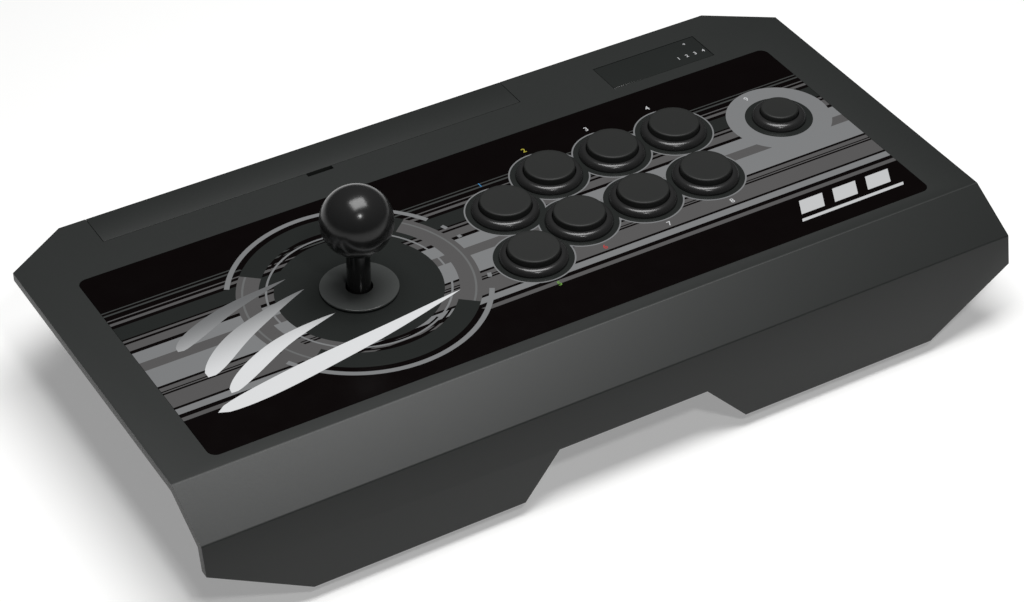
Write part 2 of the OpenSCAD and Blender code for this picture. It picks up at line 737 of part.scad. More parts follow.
module shaft_sleeve() {
    sleeve_low = pivot_ball_d / 2 + 1;
    color("#141414") at_lever() translate([0, 0, sleeve_low])
        tube(sleeve_d, shaft_d, stud_low - 0.6 - sleeve_low);
}

module ball_top() {
    centre = pivot_depth + ball_rise;
    color("#101010") at_lever() difference() {
        translate([0, 0, centre]) sphere(d = ball_d, $fn = 96);
        cylinder(d = sleeve_d + 0.4, h = stud_low);
        cylinder(d = stud_d, h = stud_low + stud_h);
    }
}

// Centring spring between the shaft's shoulder and the actuator, as its closed coils
spring_top = -10.8;
spring_low = actuator_top + 0.1;
spring_wire = 1.1;
spring_turns = 5;
spring_r = 5.2;
spring_web = 0.6;
spring_pitch = (spring_top - spring_low - spring_wire) / spring_turns;
module lever_spring() {
    color("#b9bcbe") at_lever() union() {
        for (i = [0:spring_turns]) translate([0, 0, spring_low + spring_wire / 2 + i * spring_pitch])
            rotate_extrude() translate([spring_r, 0]) circle(d = spring_wire);
        for (a = [0, 180]) rotate([0, 0, a])
            translate([spring_r - spring_web / 2, -spring_web / 2, spring_low + spring_web / 2])
                cube([spring_web, spring_web, spring_top - spring_low - spring_web]);
    }
}

module actuator() {
    color("#e2ded2") at_lever() difference() {
        union() {
            translate([0, 0, gate_top + 3]) cylinder(d = actuator_d, h = actuator_top - gate_top - 3);
            translate([0, 0, clip_groove_z + clip_t])
                cylinder(d = actuator_low_d, h = gate_top + 3 - clip_groove_z - clip_t);
        }
        translate([0, 0, shaft_low]) cylinder(d = shaft_low_d + 0.1, h = -shaft_low);
    }
}

module e_clip() {
    color("#90959a") at_lever() translate([0, 0, clip_groove_z]) difference() {
        cylinder(d = 11, h = clip_t);
        translate([0, 0, -1]) cylinder(d = clip_groove_d, h = 3);
        translate([0, -clip_groove_d / 2 + 0.4, -1]) cube([12, clip_groove_d - 0.8, 3]);
    }
}

module switch_board() {
    color("#1d5a38") at_lever() difference() {
        translate([0, 0, lever_board_low]) round_slab(gate_size, gate_size - 6, board_t, 4);
        translate([0, 0, lever_board_low - 1]) cylinder(d = housing_bore_d - 2, h = board_t + 2);
        for (p = housing_screw_at) translate([p.x, p.y, lever_board_low - 1])
            cylinder(d = lever_screw_d, h = board_t + 2);
    }
}

// Four snap switches round the actuator, plungers towards it
module lever_switches() {
    color("#2a2a2c") at_lever() for (a = switch_turns) rotate([0, 0, a]) union() {
        translate([switch_reach, -switch_l / 2, gate_top]) cube([switch_w, switch_l, switch_h]);
        translate([switch_reach - 1.6, -1.5, gate_top + 5]) cube([1.6, 3, 2]);
    }
}

// Gate plate whose square hole limits the tilt
module square_gate() {
    color("#e6e6e0") at_lever() difference() {
        union() {
            translate([0, 0, gate_top - gate_t]) round_slab(gate_size, gate_size - 6, gate_t, 4);
            for (p = housing_screw_at) translate([p.x, p.y, gate_top]) cylinder(d = 6, h = switch_h);
        }
        translate([-gate_half, -gate_half, gate_top - gate_t - 1])
            cube([2 * gate_half, 2 * gate_half, gate_t + 2]);
        for (p = housing_screw_at) translate([p.x, p.y, gate_top - gate_t - 1])
            cylinder(d = lever_screw_d, h = switch_h + gate_t + 2);
    }
}

// Thin washer between panel and dust washer, slotted fore and aft for the sleeve
slip_rise = 0.2;
washer_rise = slip_rise + slip_t + 0.2;
lever_throw = (pivot_depth + 2) * tan(lever_tilt);
module slip_washer() {
    slot = washer_hole_d / 2;
    color("#151515") at_lever() translate([0, 0, pivot_depth + slip_rise]) difference() {
        cylinder(d = washer_d - 3, h = slip_t);
        translate([-slot, -lever_throw, -1]) cube([2 * slot, 2 * lever_throw, slip_t + 2]);
        for (s = [-1, 1]) translate([0, s * lever_throw, -1]) cylinder(r = slot, h = slip_t + 2);
    }
}

module dust_washer() {
    color("#101010") at_lever() translate([0, 0, pivot_depth + washer_rise])
        tube(washer_d, washer_hole_d, washer_t);
}

// ---- Buttons ----

step_z = -3.1;
cap_gap = 0.35;
cap_flange = 0.7;
housing_floor = 2;

// Snap-in button housing: rounded rim on the panel, stepped barrel below it
module button_housing(hole_d, rim_d, cap_d) {
    bore = cap_d / 2 + cap_gap;
    low_bore = bore + cap_flange;
    crown = bore + 0.8;
    rim = [for (a = [0:10:90]) [crown + (rim_d / 2 - crown) * cos(a), rim_h * sin(a)]];
    union() {
        rotate_extrude($fn = 96) polygon(concat(
            [[3.5, -barrel_h], [hole_d / 2 - 0.15, -barrel_h], [hole_d / 2 - 0.15, 0]], rim,
            [[bore, rim_h], [bore, step_z], [low_bore, step_z],
             [low_bore, housing_floor - barrel_h], [3.5, housing_floor - barrel_h]]));
        for (s = [-1, 1]) rotate([90, 0, 90 + 90 * s]) linear_extrude(6, center = true)
            polygon([[hole_d / 2 - 0.4, -sheet_t - plate_t], [hole_d / 2 + 1, -sheet_t - plate_t],
                     [hole_d / 2 - 0.2, -12], [hole_d / 2 - 0.4, -12]]);
    }
}

// Plunger: flat cap with a rounded edge, thin skirt with a retaining flange, centre stem
module button_plunger(cap_d, cap_h) {
    r = cap_d / 2;
    edge = 1;
    rest_z = step_z - 0.2;
    stem = housing_floor - barrel_h + button_travel + 0.4;
    rotate_extrude($fn = 96) polygon(concat(
        [[0, stem], [2.6, stem], [2.6, cap_h - 2.5], [r - 1.6, cap_h - 2.5], [r - 1.6, rest_z - 8],
         [r, rest_z - 8], [r, rest_z - 2], [r + cap_flange - 0.1, rest_z - 2],
         [r + cap_flange - 0.1, rest_z], [r, rest_z]],
        [for (a = [0:15:90]) [r - edge + edge * cos(a), cap_h - edge + edge * sin(a)]], [[0, cap_h]]));
}

module at_button(i) from_rear() translate([button_at[i - 1].x, button_at[i - 1].y, case_h]) children();
module at_small_button() from_rear() translate([small_at.x, small_at.y, case_h]) children();

module large_housing(i) color("#111111") at_button(i)
    button_housing(button_hole_d, button_rim_d, button_cap_d);
module large_plunger(i) color("#2c2d2c") at_button(i)
    button_plunger(button_cap_d, button_cap_h);
module small_button_housing() color("#111111") at_small_button()
    button_housing(small_hole_d, small_rim_d, small_cap_d);
module small_button_plunger() color("#2c2d2c") at_small_button()
    button_plunger(small_cap_d, small_cap_h);

// Snap switch under a button: case, plunger and two blade terminals
blade = [3, 0.8, 4];
module snap_switch() {
    translate([0, 0, -barrel_h]) union() {
        translate([-switch_l / 2, -switch_w / 2, -switch_h]) cube([switch_l, switch_w, switch_h]);
        cylinder(d = 3, h = housing_floor + 0.2);
        for (x = [-8, 5]) translate([x, -blade.y / 2, -switch_h - blade.z]) cube(blade + [0, 0, 0.2]);
    }
}

module button_switches() {
    color("#26262a") {
        for (i = LARGE) at_button(i) snap_switch();
        at_small_button() snap_switch();
    }
}

// ---- The object ----

top_shell();
lower_case();
base_plate();
feet();
case_screws();
cable_gland();
face_sheet();
panel_plate();
panel_screws();
status_window();
led_board();
main_board();
board_spacers();
wiring();
rear_lid();
lid_pins();
control_tray();
key_board();
for (i = [1:4]) tray_key(i);
for (i = [1:2]) tray_slider(i);
lever_bracket();
lever_housing();
lever_screws();
pivot_ball();
trunnion_pins();
cross_pin();
lever_shaft();
shaft_sleeve();
ball_top();
lever_spring();
actuator();
e_clip();
switch_board();
lever_switches();
square_gate();
slip_washer();
dust_washer();
for (i = LARGE) large_housing(i);
for (i = LARGE) large_plunger(i);
small_button_housing();
small_button_plunger();
button_switches();
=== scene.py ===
"""Looks of the arcade joystick panel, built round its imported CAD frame.

Every piece keeps the place and size of the CAD node that it stands for. The case mouldings are
filleted copies of their CAD meshes, the round parts are spun from their own profiles, and the
printed face is one material drawn in millimetres from the frame's holes.
"""
import json
import logging
import math
from dataclasses import dataclass
from enum import Enum
from typing import Callable, Optional, Sequence, Union

import bmesh
import bpy
from bmesh.types import BMesh, BMEdge
from bpy.types import Material, NodeSocket, NodeTree, Object, ShaderNode
from mathutils import Matrix, Vector


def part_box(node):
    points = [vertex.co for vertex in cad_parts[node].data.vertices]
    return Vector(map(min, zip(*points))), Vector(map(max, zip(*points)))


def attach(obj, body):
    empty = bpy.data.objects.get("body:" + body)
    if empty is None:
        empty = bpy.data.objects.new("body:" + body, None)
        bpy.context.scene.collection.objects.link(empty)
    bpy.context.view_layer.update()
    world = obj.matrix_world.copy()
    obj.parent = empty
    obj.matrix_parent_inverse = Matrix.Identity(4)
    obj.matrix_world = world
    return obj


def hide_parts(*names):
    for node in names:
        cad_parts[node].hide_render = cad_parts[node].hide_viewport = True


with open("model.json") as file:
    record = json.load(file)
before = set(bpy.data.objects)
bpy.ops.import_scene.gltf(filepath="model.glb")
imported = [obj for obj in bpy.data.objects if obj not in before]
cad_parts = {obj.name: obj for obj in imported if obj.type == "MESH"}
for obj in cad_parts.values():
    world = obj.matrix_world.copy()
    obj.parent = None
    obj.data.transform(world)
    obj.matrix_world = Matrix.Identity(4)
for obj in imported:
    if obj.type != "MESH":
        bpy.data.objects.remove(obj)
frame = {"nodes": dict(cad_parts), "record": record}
log = logging.getLogger("joystick_panel")

MM = 0.001
LARGE_BUTTONS = range(1, 9)
# Distances under which two vertices are one: in a spun or drawn shape, and in a CAD node's loose triangles
SHAPE_MERGE = 0.0005 * MM
CAD_MERGE = 0.002 * MM
Profile = list[tuple[float, float]]
SocketValue = Union[float, tuple[float, ...]]


# ---------------------------------------------------------------- colours and nodes

def linear(hex_colour: str) -> tuple[float, float, float, float]:
    """Turns an sRGB hex colour into Blender's linear RGBA.

    Args:
        hex_colour: Six hex digits, such as "3a3b3a".

    Returns:
        Linear red, green, blue and an alpha of 1.
    """
    channels = [int(hex_colour[i:i + 2], 16) / 255 for i in (0, 2, 4)]
    values = [c / 12.92 if c <= 0.04045 else ((c + 0.055) / 1.055) ** 2.4 for c in channels]
    return (*values, 1.0)


def add_node(tree: NodeTree, kind: str, settings: Optional[dict] = None,
             values: Optional[dict[Union[int, str], SocketValue]] = None,
             links: Optional[dict[Union[int, str], NodeSocket]] = None) -> ShaderNode:
    """Adds one node with its settings, socket values and incoming links.

    Args:
        tree: The material's node tree.
        kind: The node's type, without the ShaderNode prefix.
        settings: Attributes to set on the node.
        values: Input socket to constant value.
        links: Input socket to the output that feeds it.

    Returns:
        The new node.
    """
    node = tree.nodes.new("ShaderNode" + kind)
    for key, value in (settings or {}).items():
        setattr(node, key, value)
    for key, value in (values or {}).items():
        node.inputs[key].default_value = value
    for key, source in (links or {}).items():
        tree.links.new(source, node.inputs[key])
    return node


def new_material(name: str) -> tuple[Material, NodeTree, ShaderNode]:
    """Makes an empty node material.

    Args:
        name: The material's name.

    Returns:
        The material, its tree and its Principled shader.
    """
    material = bpy.data.materials.new(name)
    material.use_nodes = True
    tree = material.node_tree
    return material, tree, tree.nodes["Principled BSDF"]


# ---------------------------------------------------------------- finishes

@dataclass(frozen=True)
class Moulded:
    """A moulded plastic or rubber: one colour with a cast, a skin grain and a slow colour drift."""

    name: str
    colour: str
    roughness: float
    ior: float = 1.5
    grain_mm: float = 0.5
    grain_depth_mm: float = 0.02
    drift: float = 0.06
    specular: float = 0.5
    sheen: float = 0.0
    cloud_mm: float = 45.0

    def build(self) -> Material:
        """Builds the material from the finish's values."""
        material, tree, shader = new_material(self.name)
        coordinate = add_node(tree, "TexCoord").outputs["Object"]
        grain = add_node(tree, "TexNoise", values={"Scale": 1 / (self.grain_mm * MM), "Detail": 3.0},
                         links={"Vector": coordinate})
        cloud = add_node(tree, "TexNoise", values={"Scale": 1 / (self.cloud_mm * MM), "Detail": 2.0},
                         links={"Vector": coordinate})
        base = linear(self.colour)
        dark = tuple(c * (1 - self.drift) for c in base[:3]) + (1.0,)
        light = tuple(min(1.0, c * (1 + self.drift)) for c in base[:3]) + (1.0,)
        tone = add_node(tree, "Mix", {"data_type": "RGBA"}, {6: dark, 7: light},
                        {0: cloud.outputs["Fac"]})
        skin = add_node(tree, "MapRange", values={3: self.roughness - 0.05, 4: self.roughness + 0.05},
                        links={0: grain.outputs["Fac"]})
        bump = add_node(tree, "Bump", values={"Strength": 0.6, "Distance": self.grain_depth_mm * MM},
                        links={"Height": grain.outputs["Fac"]})
        shader.inputs["IOR"].default_value = self.ior
        shader.inputs["Specular IOR Level"].default_value = self.specular
        shader.inputs["Sheen Weight"].default_value = self.sheen
        tree.links.new(tone.outputs[2], shader.inputs["Base Color"])
        tree.links.new(skin.outputs[0], shader.inputs["Roughness"])
        tree.links.new(bump.outputs[0], shader.inputs["Normal"])
        return material


@dataclass(frozen=True)
class FadedInk:
    """A screen ink that fades from one tone to another along the depth of the case."""

    name: str
    near_colour: str
    far_colour: str
    near_y: float
    far_y: float

    def build(self) -> Material:
        """Builds the material from the finish's values."""
        material, tree, shader = new_material(self.name)
        coordinate = add_node(tree, "TexCoord").outputs["Object"]
        depth = add_node(tree, "SeparateXYZ", links={0: coordinate})
        place = add_node(tree, "MapRange", {"interpolation_type": "SMOOTHSTEP"},
                         {1: self.near_y, 2: self.far_y, 3: 0.0, 4: 1.0}, {0: depth.outputs["Y"]})
        tone = add_node(tree, "Mix", {"data_type": "RGBA"},
                        {6: linear(self.near_colour), 7: linear(self.far_colour)}, {0: place.outputs[0]})
        grit = add_node(tree, "TexNoise", values={"Scale": 1 / (0.6 * MM), "Detail": 2.0},
                        links={"Vector": coordinate})
        skin = add_node(tree, "MapRange", values={3: 0.38, 4: 0.5}, links={0: grit.outputs["Fac"]})
        tree.links.new(tone.outputs[2], shader.inputs["Base Color"])
        tree.links.new(skin.outputs[0], shader.inputs["Roughness"])
        return material


@dataclass(frozen=True)
class Metal:
    """A sheet, turned or drawn metal with fine lines along one axis."""

    name: str
    colour: str
    roughness: float
    line_mm: float = 0.4
    line_stretch: tuple[float, float, float] = (0.03, 1.0, 1.0)
    metallic: float = 1.0

    def build(self) -> Material:
        """Builds the material from the finish's values."""
        material, tree, shader = new_material(self.name)
        coordinate = add_node(tree, "TexCoord").outputs["Object"]
        scale = tuple(s / (self.line_mm * MM) for s in self.line_stretch)
        stretched = add_node(tree, "Mapping", values={"Scale": scale}, links={"Vector": coordinate})
        lines = add_node(tree, "TexNoise", values={"Scale": 1.0, "Detail": 4.0},
                         links={"Vector": stretched.outputs[0]})
        skin = add_node(tree, "MapRange", values={3: self.roughness - 0.08, 4: self.roughness + 0.1},
                        links={0: lines.outputs["Fac"]})
        base = linear(self.colour)
        dull = tuple(c * 0.82 for c in base[:3]) + (1.0,)
        tone = add_node(tree, "Mix", {"data_type": "RGBA"}, {6: dull, 7: base}, {0: lines.outputs["Fac"]})
        bump = add_node(tree, "Bump", values={"Strength": 0.4, "Distance": 0.008 * MM},
                        links={"Height": lines.outputs["Fac"]})
        shader.inputs["Metallic"].default_value = self.metallic
        tree.links.new(tone.outputs[2], shader.inputs["Base Color"])
        tree.links.new(skin.outputs[0], shader.inputs["Roughness"])
        tree.links.new(bump.outputs[0], shader.inputs["Normal"])
        return material


@dataclass(frozen=True)
class SolderMask:
    """Glass-epoxy circuit board: green mask with slightly raised copper tracks under it."""

    name: str
    mask: str
    track: str
    track_mm: float = 2.2

    def build(self) -> Material:
        """Builds the material from the finish's values."""
        material, tree, shader = new_material(self.name)
        coordinate = add_node(tree, "TexCoord").outputs["Object"]
        tracks = add_node(tree, "TexBrick", {"offset": 0.37, "squash": 0.6},
                          {"Scale": 1 / (self.track_mm * MM), "Mortar Size": 0.09,
                           "Color1": linear(self.mask), "Color2": linear(self.mask),
                           "Mortar": linear(self.track), "Brick Width": 3.1, "Row Height": 0.8},
                          {"Vector": coordinate})
        bump = add_node(tree, "Bump", values={"Strength": 0.5, "Distance": 0.035 * MM},
                        links={"Height": tracks.outputs["Fac"]})
        shader.inputs["Roughness"].default_value = 0.32
        tree.links.new(tracks.outputs["Color"], shader.inputs["Base Color"])
        tree.links.new(bump.outputs[0], shader.inputs["Normal"])
        return material


class Ink(Enum):
    """Inks of the printed face, as sRGB hex."""

    BLACK = "060303"
    CHARCOAL = "222423"
    SLATE = "393b3a"
    GREY = "504f4f"
    MID_LINE = "606161"
    SILVER = "727374"


@dataclass(frozen=True)
class Ring:
    """A printed ring or disc round a centre, over all of the circle or over two mirrored arcs.

    The arcs lie between start and end degrees on both sides of the +X direction.
    """

    inner_mm: float
    outer_mm: float
    ink: Ink
    start: float = 0.0
    end: float = 180.0


@dataclass(frozen=True)
class PrintedFace:
    """Black face sheet, printed behind a clear laminate: bands across it and rings round its holes.

    bands lists each band as (depth of its rear edge below the case's rear edge in mm, ink). A band
    ends where the next one starts.
    """

    name: str
    rear_edge: float
    top: float
    lever: tuple[float, float]
    buttons: tuple[tuple[float, float], ...]
    small_button: tuple[float, float]
    bands: tuple[tuple[float, Ink], ...]
    lever_rings: tuple[Ring, ...]
    button_rings: tuple[Ring, ...]
    small_rings: tuple[Ring, ...]

    def build(self) -> Material:
        """Builds the material: bands first, then each set of rings over them."""
        material, tree, shader = new_material(self.name)
        coordinate = add_node(tree, "TexCoord").outputs["Object"]
        colour = self._bands(tree, coordinate)
        lever_distance = self._distance(tree, coordinate, self.lever)
        lever_angle = self._angle(tree, coordinate, self.lever)
        for ring in self.lever_rings:
            colour = self._ring(tree, colour, ring, lever_distance, lever_angle)
        small_distance = self._distance(tree, coordinate, self.small_button)
        for ring in self.small_rings:
            colour = self._ring(tree, colour, ring, small_distance)
        nearest = self._distance(tree, coordinate, self.buttons[0])
        for centre in self.buttons[1:]:
            other = self._distance(tree, coordinate, centre)
            nearest = add_node(tree, "Math", {"operation": "MINIMUM"},
                               links={0: nearest, 1: other}).outputs[0]
        for ring in self.button_rings:
            colour = self._ring(tree, colour, ring, nearest)
        haze = add_node(tree, "TexNoise", values={"Scale": 1 / (12 * MM), "Detail": 5.0},
                        links={"Vector": coordinate})
        skin = add_node(tree, "MapRange", values={3: 0.2, 4: 0.28}, links={0: haze.outputs["Fac"]})
        orange_peel = add_node(tree, "TexNoise", values={"Scale": 1 / (2.5 * MM), "Detail": 1.0},
                               links={"Vector": coordinate})
        bump = add_node(tree, "Bump", values={"Strength": 0.25, "Distance": 0.004 * MM},
                        links={"Height": orange_peel.outputs["Fac"]})
        shader.inputs["IOR"].default_value = 1.49
        shader.inputs["Specular IOR Level"].default_value = 0.22
        tree.links.new(colour, shader.inputs["Base Color"])
        tree.links.new(skin.outputs[0], shader.inputs["Roughness"])
        tree.links.new(bump.outputs[0], shader.inputs["Normal"])
        return material

    def _bands(self, tree: NodeTree, coordinate: NodeSocket) -> NodeSocket:
        """Draws the bands with a stepped ramp along the depth of the case."""
        first, last = self.bands[0][0], self.bands[-1][0]
        span = last - first
        depth = add_node(tree, "SeparateXYZ", links={0: coordinate})
        place = add_node(tree, "MapRange", values={
            1: self.rear_edge - first * MM, 2: self.rear_edge - (last + span / 20) * MM, 3: 0.0, 4: 1.0},
            links={0: depth.outputs["Y"]})
        ramp_node = add_node(tree, "ValToRGB", links={0: place.outputs[0]})
        ramp = ramp_node.color_ramp
        ramp.interpolation = "CONSTANT"
        scale = 1 / (span * (1 + 1 / 20))
        ramp.elements[0].position = 0.0
        ramp.elements[0].color = linear(Ink.BLACK.value)
        # The ramp starts with two stops: the black ahead of the bands gives way at once to the first band
        ramp.elements[1].position = 0.002
        ramp.elements[1].color = linear(self.bands[0][1].value)
        for start, ink in self.bands[1:]:
            element = ramp.elements.new((start - first) * scale)
            element.color = linear(ink.value)
        return ramp_node.outputs["Color"]

    def _distance(self, tree: NodeTree, coordinate: NodeSocket, centre: tuple[float, float]) -> NodeSocket:
        """Distance from a centre on the face, in millimetres."""
        metres = add_node(tree, "VectorMath", {"operation": "DISTANCE"}, {1: (*centre, self.top)},
                          {0: coordinate})
        return add_node(tree, "Math", {"operation": "DIVIDE"}, {1: MM},
                        {0: metres.outputs["Value"]}).outputs[0]

    def _angle(self, tree: NodeTree, coordinate: NodeSocket, centre: tuple[float, float]) -> NodeSocket:
        """Angle from the +X direction round a centre, in degrees, without its sign."""
        local = add_node(tree, "VectorMath", {"operation": "SUBTRACT"}, {1: (*centre, 0.0)}, {0: coordinate})
        parts = add_node(tree, "SeparateXYZ", links={0: local.outputs[0]})
        turn = add_node(tree, "Math", {"operation": "ARCTAN2"},
                        links={0: parts.outputs["Y"], 1: parts.outputs["X"]})
        degrees = add_node(tree, "Math", {"operation": "DEGREES"}, links={0: turn.outputs[0]})
        return add_node(tree, "Math", {"operation": "ABSOLUTE"}, links={0: degrees.outputs[0]}).outputs[0]

    def _ring(self, tree: NodeTree, under: NodeSocket, ring: Ring, distance: NodeSocket,
              angle: Optional[NodeSocket] = None) -> NodeSocket:
        """Prints one ring over the colour under it.

        Args:
            tree: The material's node tree.
            under: The colour printed so far.
            ring: The ring to print.
            distance: Distance from the ring's centre in millimetres.
            angle: Unsigned angle round the centre in degrees, for a ring with arcs.

        Returns:
            The colour with the ring on it.
        """
        mask = add_node(tree, "Math", {"operation": "COMPARE"},
                        {1: (ring.inner_mm + ring.outer_mm) / 2, 2: (ring.outer_mm - ring.inner_mm) / 2},
                        {0: distance}).outputs[0]
        if angle is not None and (ring.start > 0 or ring.end < 180):
            sector = add_node(tree, "Math", {"operation": "COMPARE"},
                              {1: (ring.start + ring.end) / 2, 2: (ring.end - ring.start) / 2}, {0: angle})
            mask = add_node(tree, "Math", {"operation": "MULTIPLY"},
                            links={0: mask, 1: sector.outputs[0]}).outputs[0]
        mix = add_node(tree, "Mix", {"data_type": "RGBA"}, {7: linear(ring.ink.value)}, {0: mask, 6: under})
        return mix.outputs[2]


# ABS moulded in a spark-eroded tool: a fine matt grain that greys the dark colour in soft light
CASE_ABS = Moulded("abs_spark_grain_dark_grey", "232524", 0.49, 1.53, 0.7, 0.02, 0.05, 0.36)
# The same ABS for the tub and tray, darker and a little coarser in grain
LOWER_ABS = Moulded("abs_matt_near_black", "1a1b1a", 0.5, 1.53, 0.9, 0.03, 0.07, 0.4)
# Vulcanised rubber: dull and slightly dusty, with no clear highlight
FOOT_RUBBER = Moulded("moulded_rubber_black", "181818", 0.8, 1.52, 0.8, 0.05, 0.12, 0.4, 0.1)
# Polished cast plastic: clear highlights, a little hazed by handling
POLISHED_BLACK = Moulded("polished_cast_plastic_black", "202020", 0.2, 1.5, 6.0, 0.002, 0.04, 0.34)
# Injected polypropylene washer: dark grey, smooth from use; its base colour is lighter than the washer's own
# grey, a painted reflection of the lit shaft and surroundings that it mirrors
WASHER_GREY_PAINTED_REFLECTION = Moulded("smooth_polypropylene_grey_painted_reflection", "464847", 0.1, 1.49, 6.0, 0.002, 0.04)
# Button rims: polished tool finish, a little softer than the ball top
RIM_GLOSS = Moulded("polished_abs_black_rim", "242424", 0.26, 1.53, 4.0, 0.002, 0.05, 0.42)
# Button plungers: fine matt nylon that lights evenly over its flat top
CAP_MATT = Moulded("matt_nylon_black_plunger", "1d1e1d", 0.55, 1.53, 0.5, 0.02, 0.04, 0.3)
# Tray keys and knobs: satin ABS, lighter than the tray so that they can be found
KEY_ABS = Moulded("satin_abs_grey_key", "454645", 0.42, 1.53, 0.6, 0.02, 0.05)
# Black glass-filled nylon of the lever housing: dry, mottled skin
LEVER_NYLON = Moulded("glass_filled_nylon_black", "1c1c1d", 0.6, 1.53, 1.1, 0.05, 0.15)
# Natural acetal: waxy off-white, slightly glossy
ACETAL = Moulded("natural_acetal", "cfccc1", 0.38, 1.48, 1.5, 0.01, 0.04)
# Phenolic switch cases: hard, dark and semi-matt
SWITCH_CASE = Moulded("phenolic_switch_black", "252528", 0.48, 1.55, 0.8, 0.02, 0.08)
# PVC ribbon cable: ribbed, soft gloss
RIBBON_PVC = Moulded("pvc_ribbon_blue_grey", "3c4a66", 0.45, 1.53, 1.27, 0.08, 0.1)
# Smoked acrylic: near black with a clear polished surface
SMOKED_ACRYLIC = Moulded("smoked_acrylic", "232524", 0.16, 1.49, 8.0, 0.002, 0.05)
# Screen inks on top of the laminate: flat, a touch raised
INK_PALE = Moulded("screen_ink_pale_grey", "b2b3b4", 0.45, 1.5, 0.6, 0.01, 0.03)
INK_SILVER = Moulded("screen_ink_silver_grey", "8d8f90", 0.42, 1.5, 0.6, 0.01, 0.03)
INK_BLUE = Moulded("screen_ink_blue", "2b6f9e", 0.45, 1.5, 0.6, 0.01, 0.03)
INK_YELLOW = Moulded("screen_ink_yellow", "9c9430", 0.45, 1.5, 0.6, 0.01, 0.03)
INK_GREEN = Moulded("screen_ink_green", "5d8a34", 0.45, 1.5, 0.6, 0.01, 0.03)
INK_RED = Moulded("screen_ink_red", "a03232", 0.45, 1.5, 0.6, 0.01, 0.03)
# Powder coat on the steel base: fine pebble texture
POWDER_COAT = Moulded("powder_coated_steel_black", "202021", 0.5, 1.5, 1.4, 0.09, 0.06)
# Electro-dipped sheet: thin black skin that follows the rolled steel's lines
DIPPED_STEEL = Metal("e_coated_sheet_steel", "2e2f30", 0.45, 0.6, (0.05, 1.0, 1.0), 0.3)
# Zinc-plated pressing: cool grey with rolling lines
ZINC_STEEL = Metal("zinc_plated_steel", "a3a6a9", 0.35, 0.5, (0.04, 1.0, 1.0))
# Turned and ground steel: pins, shaft and screws
BRIGHT_STEEL = Metal("ground_bright_steel", "b6b8ba", 0.24, 0.25, (1.0, 1.0, 0.2))
# Turned brass spacers
BRASS = Metal("turned_brass", "b9985a", 0.28, 0.25, (1.0, 1.0, 0.2))
# Glass-epoxy boards under green solder mask
CIRCUIT_BOARD = SolderMask("solder_mask_green", "1c5a37", "2f7a4c")

SLOT_FINISHES = {
    "case_plastic": CASE_ABS, "lower_plastic": LOWER_ABS, "painted_steel": POWDER_COAT,
    "panel_steel": DIPPED_STEEL, "zinc_steel": ZINC_STEEL, "foot_rubber": FOOT_RUBBER,
    "steel_hardware": BRIGHT_STEEL, "brass_hardware": BRASS, "smoked_window": SMOKED_ACRYLIC,
    "circuit_board": CIRCUIT_BOARD, "wire_cover": RIBBON_PVC, "key_plastic": KEY_ABS,
    "lever_plastic": LEVER_NYLON, "acetal": ACETAL, "gloss_black": POLISHED_BLACK,
    "switch_plastic": SWITCH_CASE, "button_rim": RIM_GLOSS, "button_cap": CAP_MATT,
}


class Palette:
    """Builds each finish once and hands out its material."""

    def __init__(self) -> None:
        """Starts with no material built."""
        self._built: dict[str, Material] = {}

    def of(self, finish: Union[Moulded, FadedInk, Metal, SolderMask, PrintedFace]) -> Material:
        """Returns the finish's material, building it the first time."""
        if finish.name not in self._built:
            self._built[finish.name] = finish.build()
        return self._built[finish.name]


# ---------------------------------------------------------------- mesh helpers

def centre_of(node: str) -> Vector:
    """Middle of a CAD node's box, in metres."""
    low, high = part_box(node)
    return (low + high) / 2


def arc(middle: tuple[float, float], radius: tuple[float, float], start: float, end: float,
        steps: int) -> Profile:
    """Points along part of an ellipse, for a profile.

    Args:
        middle: The ellipse's centre as (r, z).
        radius: Its radii along r and z.
        start: Angle of the first point in degrees, from the +r direction.
        end: Angle of the last point.
        steps: Number of steps between them.

    Returns:
        steps + 1 points.
    """
    angles = [math.radians(start + (end - start) * i / steps) for i in range(steps + 1)]
    return [(middle[0] + radius[0] * math.cos(a), middle[1] + radius[1] * math.sin(a)) for a in angles]


def revolved(profile: Profile, place: Vector, steps: int = 96) -> BMesh:
    """Spins a closed profile round a vertical axis.

    Args:
        profile: Points (r, z) in metres round the outline; ends on the axis stay open there.
        place: Where the profile's origin goes.
        steps: Number of segments round the axis.

    Returns:
        The spun mesh, in place.
    """
    bm = bmesh.new()
    points = [bm.verts.new((r, 0.0, z)) for r, z in profile]
    on_axis = profile[0][0] == 0.0 and profile[-1][0] == 0.0
    pairs = list(zip(points, points[1:])) + ([] if on_axis else [(points[-1], points[0])])
    edges = [bm.edges.new(pair) for pair in pairs]
    bmesh.ops.spin(bm, geom=points + edges, cent=(0, 0, 0), axis=(0, 0, 1), angle=2 * math.pi,
                   steps=steps, use_merge=True)
    bmesh.ops.remove_doubles(bm, verts=bm.verts, dist=SHAPE_MERGE)
    bmesh.ops.recalc_face_normals(bm, faces=bm.faces)
    bmesh.ops.translate(bm, verts=bm.verts, vec=place)
    return bm


def block(low: Vector, high: Vector, round_mm: float = 0.0) -> BMesh:
    """A box between two corners with rounded edges.

    Args:
        low: Its lowest corner.
        high: Its highest corner.
        round_mm: Radius of its edges in millimetres.

    Returns:
        The box.
    """
    bm = bmesh.new()
    size = high - low
    place = Matrix.Translation((low + high) / 2)
    bmesh.ops.create_cube(bm, size=1.0, matrix=place @ Matrix.Diagonal((*size, 1.0)))
    if round_mm:
        soften(bm, bm.edges[:], round_mm)
    return bm


def soften(bm: BMesh, edges: Sequence[BMEdge], radius_mm: float, segments: int = 3) -> None:
    """Rounds edges to a radius given in millimetres."""
    bmesh.ops.bevel(bm, geom=list(edges), offset=radius_mm * MM, offset_type="OFFSET", affect="EDGES",
                    segments=segments, profile=0.5, material=-1, clamp_overlap=True)


